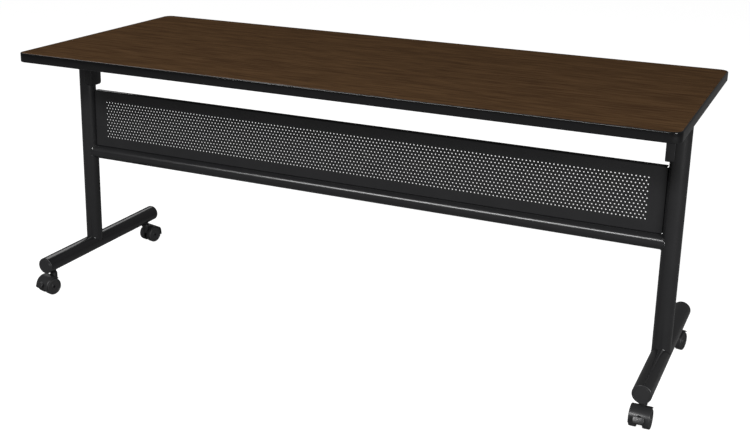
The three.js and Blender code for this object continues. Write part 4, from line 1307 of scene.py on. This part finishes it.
class TABLE_OT_stage(PieceOperator):
    """Builds the floor, the light, the background and the camera."""

    bl_idname = "table.stage"
    bl_label = "Studio"

    # The photograph's frame and the camera that was fitted to it
    image_width = 750
    image_height = 442
    focal_pixels = 1144.1
    centre_pixel = (340, 150)
    camera_place = (1.2659, -2.8584, 1.3684)
    camera_yaw = 25.252
    camera_pitch = 15.878
    camera_roll = 0.873

    # Share of the white background that reflections show, and the soft light from all round
    mirrored_share = 0.05
    ambient = 0.07

    # Glow of the floor where the camera sees it, and the grey that keeps the table's shadow on it
    floor_glow = 0.95
    shadow_grey = 0.3

    def execute(self, context):
        context.scene.view_settings.view_transform = "Standard"
        self.floor()
        self.world(context.scene)
        self.lamp("Key light", place=(-1.2, -4.3, 3.4), size=(3.4, 0.8), power=245)
        self.lamp("Fill light", place=(3.4, -2.4, 1.4), size=(1.6, 1.6), power=138)
        self.lamp("Back light", place=(-2.6, 2.6, 2.8), size=(2, 2), power=30)
        self.camera(context.scene)
        return {"FINISHED"}

    def seen_rays(self, tree):
        """A node and its output: one for camera and transmission rays, a share of it for reflections
        and nought for other light."""
        path = add_node(tree, "ShaderNodeLightPath", (-600, 400))
        share = {1: self.mirrored_share}
        mirrored = add_node(tree, "ShaderNodeMath", (-400, 250), share, operation="MULTIPLY")
        link(tree, (path, "Is Glossy Ray", mirrored, 0))
        seen = (path, "Is Camera Ray")
        for place, *rays in ((-200, mirrored, "Value"), (0, path, "Is Transmission Ray")):
            either = add_node(tree, "ShaderNodeMath", (place, 400), operation="MAXIMUM")
            link(tree, (*seen, either, 0), (*rays, either, 1))
            seen = (either, "Value")
        return seen

    def chosen_by_ray(self, tree, output_kind, unseen, seen):
        """The tree's output: one shader for the light on the table, and one for what is seen."""
        output = add_node(tree, output_kind, (700, 0))
        choice = add_node(tree, "ShaderNodeMixShader", (500, 0))
        link(
            tree,
            (*self.seen_rays(tree), choice, "Fac"),
            (unseen, 0, choice, 1),
            (seen, 0, choice, 2),
            (choice, "Shader", output, "Surface"),
        )

    def floor(self):
        reach = 9
        corners = [(-reach, -reach, 0), (reach, -reach, 0), (reach, reach, 0), (-reach, reach, 0)]
        floor = new_object("floor", corners, [(0, 1, 2, 3)])
        material = bpy.data.materials.new("Pale floor")
        material.use_nodes = True
        tree = material.node_tree
        tree.nodes.clear()
        plain_colour, shadow_colour = (*finishes().floor, 1), (*[self.shadow_grey] * 3, 1)
        plain = add_node(tree, "ShaderNodeBsdfDiffuse", (0, 200), {"Color": plain_colour})
        shadowed = add_node(tree, "ShaderNodeBsdfDiffuse", (0, 0), {"Color": shadow_colour})
        glow = add_node(tree, "ShaderNodeEmission", (0, -200), {"Strength": self.floor_glow})
        bright = add_node(tree, "ShaderNodeAddShader", (250, -100))
        link(tree, (shadowed, "BSDF", bright, 0), (glow, "Emission", bright, 1))
        self.chosen_by_ray(tree, "ShaderNodeOutputMaterial", plain, bright)
        floor.data.materials.append(material)

    def world(self, scene):
        world = bpy.data.worlds.new("White studio")
        scene.world = world
        world.use_nodes = True
        tree = world.node_tree
        tree.nodes.clear()
        white = (1, 1, 1, 1)
        values = {"Color": white, "Strength": self.ambient}
        light = add_node(tree, "ShaderNodeBackground", (200, 150), values)
        seen = add_node(tree, "ShaderNodeBackground", (200, -50), {"Color": white})
        self.chosen_by_ray(tree, "ShaderNodeOutputWorld", light, seen)

    def lamp(self, name, place, size, power):
        """A soft box of a width and a height that faces the middle of the table."""
        data = bpy.data.lights.new(name, "AREA")
        data.shape = "RECTANGLE"
        data.size, data.size_y = size
        data.energy = power
        lamp = bpy.data.objects.new(name, data)
        lamp.location = place
        aim = Vector((0, 0, TOP_HIGH.z * 0.7)) - lamp.location
        lamp.rotation_euler = aim.to_track_quat("-Z", "Y").to_euler()
        bpy.context.scene.collection.objects.link(lamp)

    def camera(self, scene):
        data = bpy.data.cameras.new("Camera")
        data.sensor_width = 36
        data.lens = data.sensor_width * self.focal_pixels / self.image_width
        data.shift_x = (self.image_width / 2 - self.centre_pixel[0]) / self.image_width
        data.shift_y = (self.centre_pixel[1] - self.image_height / 2) / self.image_width
        yaw, pitch, roll = (
            math.radians(angle) for angle in (self.camera_yaw, self.camera_pitch, self.camera_roll)
        )
        forward = Vector(
            (-math.sin(yaw) * math.cos(pitch), math.cos(yaw) * math.cos(pitch), -math.sin(pitch))
        )
        level = Vector((math.cos(yaw), math.sin(yaw), 0))
        above = level.cross(forward)
        right = level * math.cos(roll) + above * math.sin(roll)
        up = above * math.cos(roll) - level * math.sin(roll)
        turn = Matrix((right, up, -forward)).transposed()
        camera = bpy.data.objects.new("Camera", data)
        camera.matrix_world = Matrix.Translation(self.camera_place) @ turn.to_4x4()
        scene.collection.objects.link(camera)
        scene.camera = camera


class TABLE_PT_sidebar(bpy.types.Panel):
    """Lists the table's pieces, sizes and finishes."""

    bl_idname = "TABLE_PT_sidebar"
    bl_label = "Flip Top Table"
    bl_space_type = "VIEW_3D"
    bl_region_type = "UI"
    bl_category = "Table"

    def draw(self, context):
        for operator in OPERATORS:
            self.layout.operator(operator.bl_idname)
        for group in (context.scene.table_sizes, context.scene.table_finishes):
            box = self.layout.box()
            for name in group.__annotations__:
                box.prop(group, name)


OPERATORS = (
    TABLE_OT_stage,
    TABLE_OT_top,
    TABLE_OT_legs,
    TABLE_OT_beam,
    TABLE_OT_panel,
    TABLE_OT_hinges,
    TABLE_OT_locks,
    TABLE_OT_casters,
)
CLASSES = (TableSizes, TableFinishes, *OPERATORS, TABLE_PT_sidebar)


def register():
    for cls in CLASSES:
        bpy.utils.register_class(cls)
    bpy.types.Scene.table_sizes = PointerProperty(type=TableSizes)
    bpy.types.Scene.table_finishes = PointerProperty(type=TableFinishes)


def unregister():
    del bpy.types.Scene.table_finishes
    del bpy.types.Scene.table_sizes
    for cls in reversed(CLASSES):
        bpy.utils.unregister_class(cls)


def main():
    register()
    for operator in OPERATORS:
        group, name = operator.bl_idname.split(".")
        getattr(getattr(bpy.ops, group), name)()


if __name__ == "__main__":
    main()
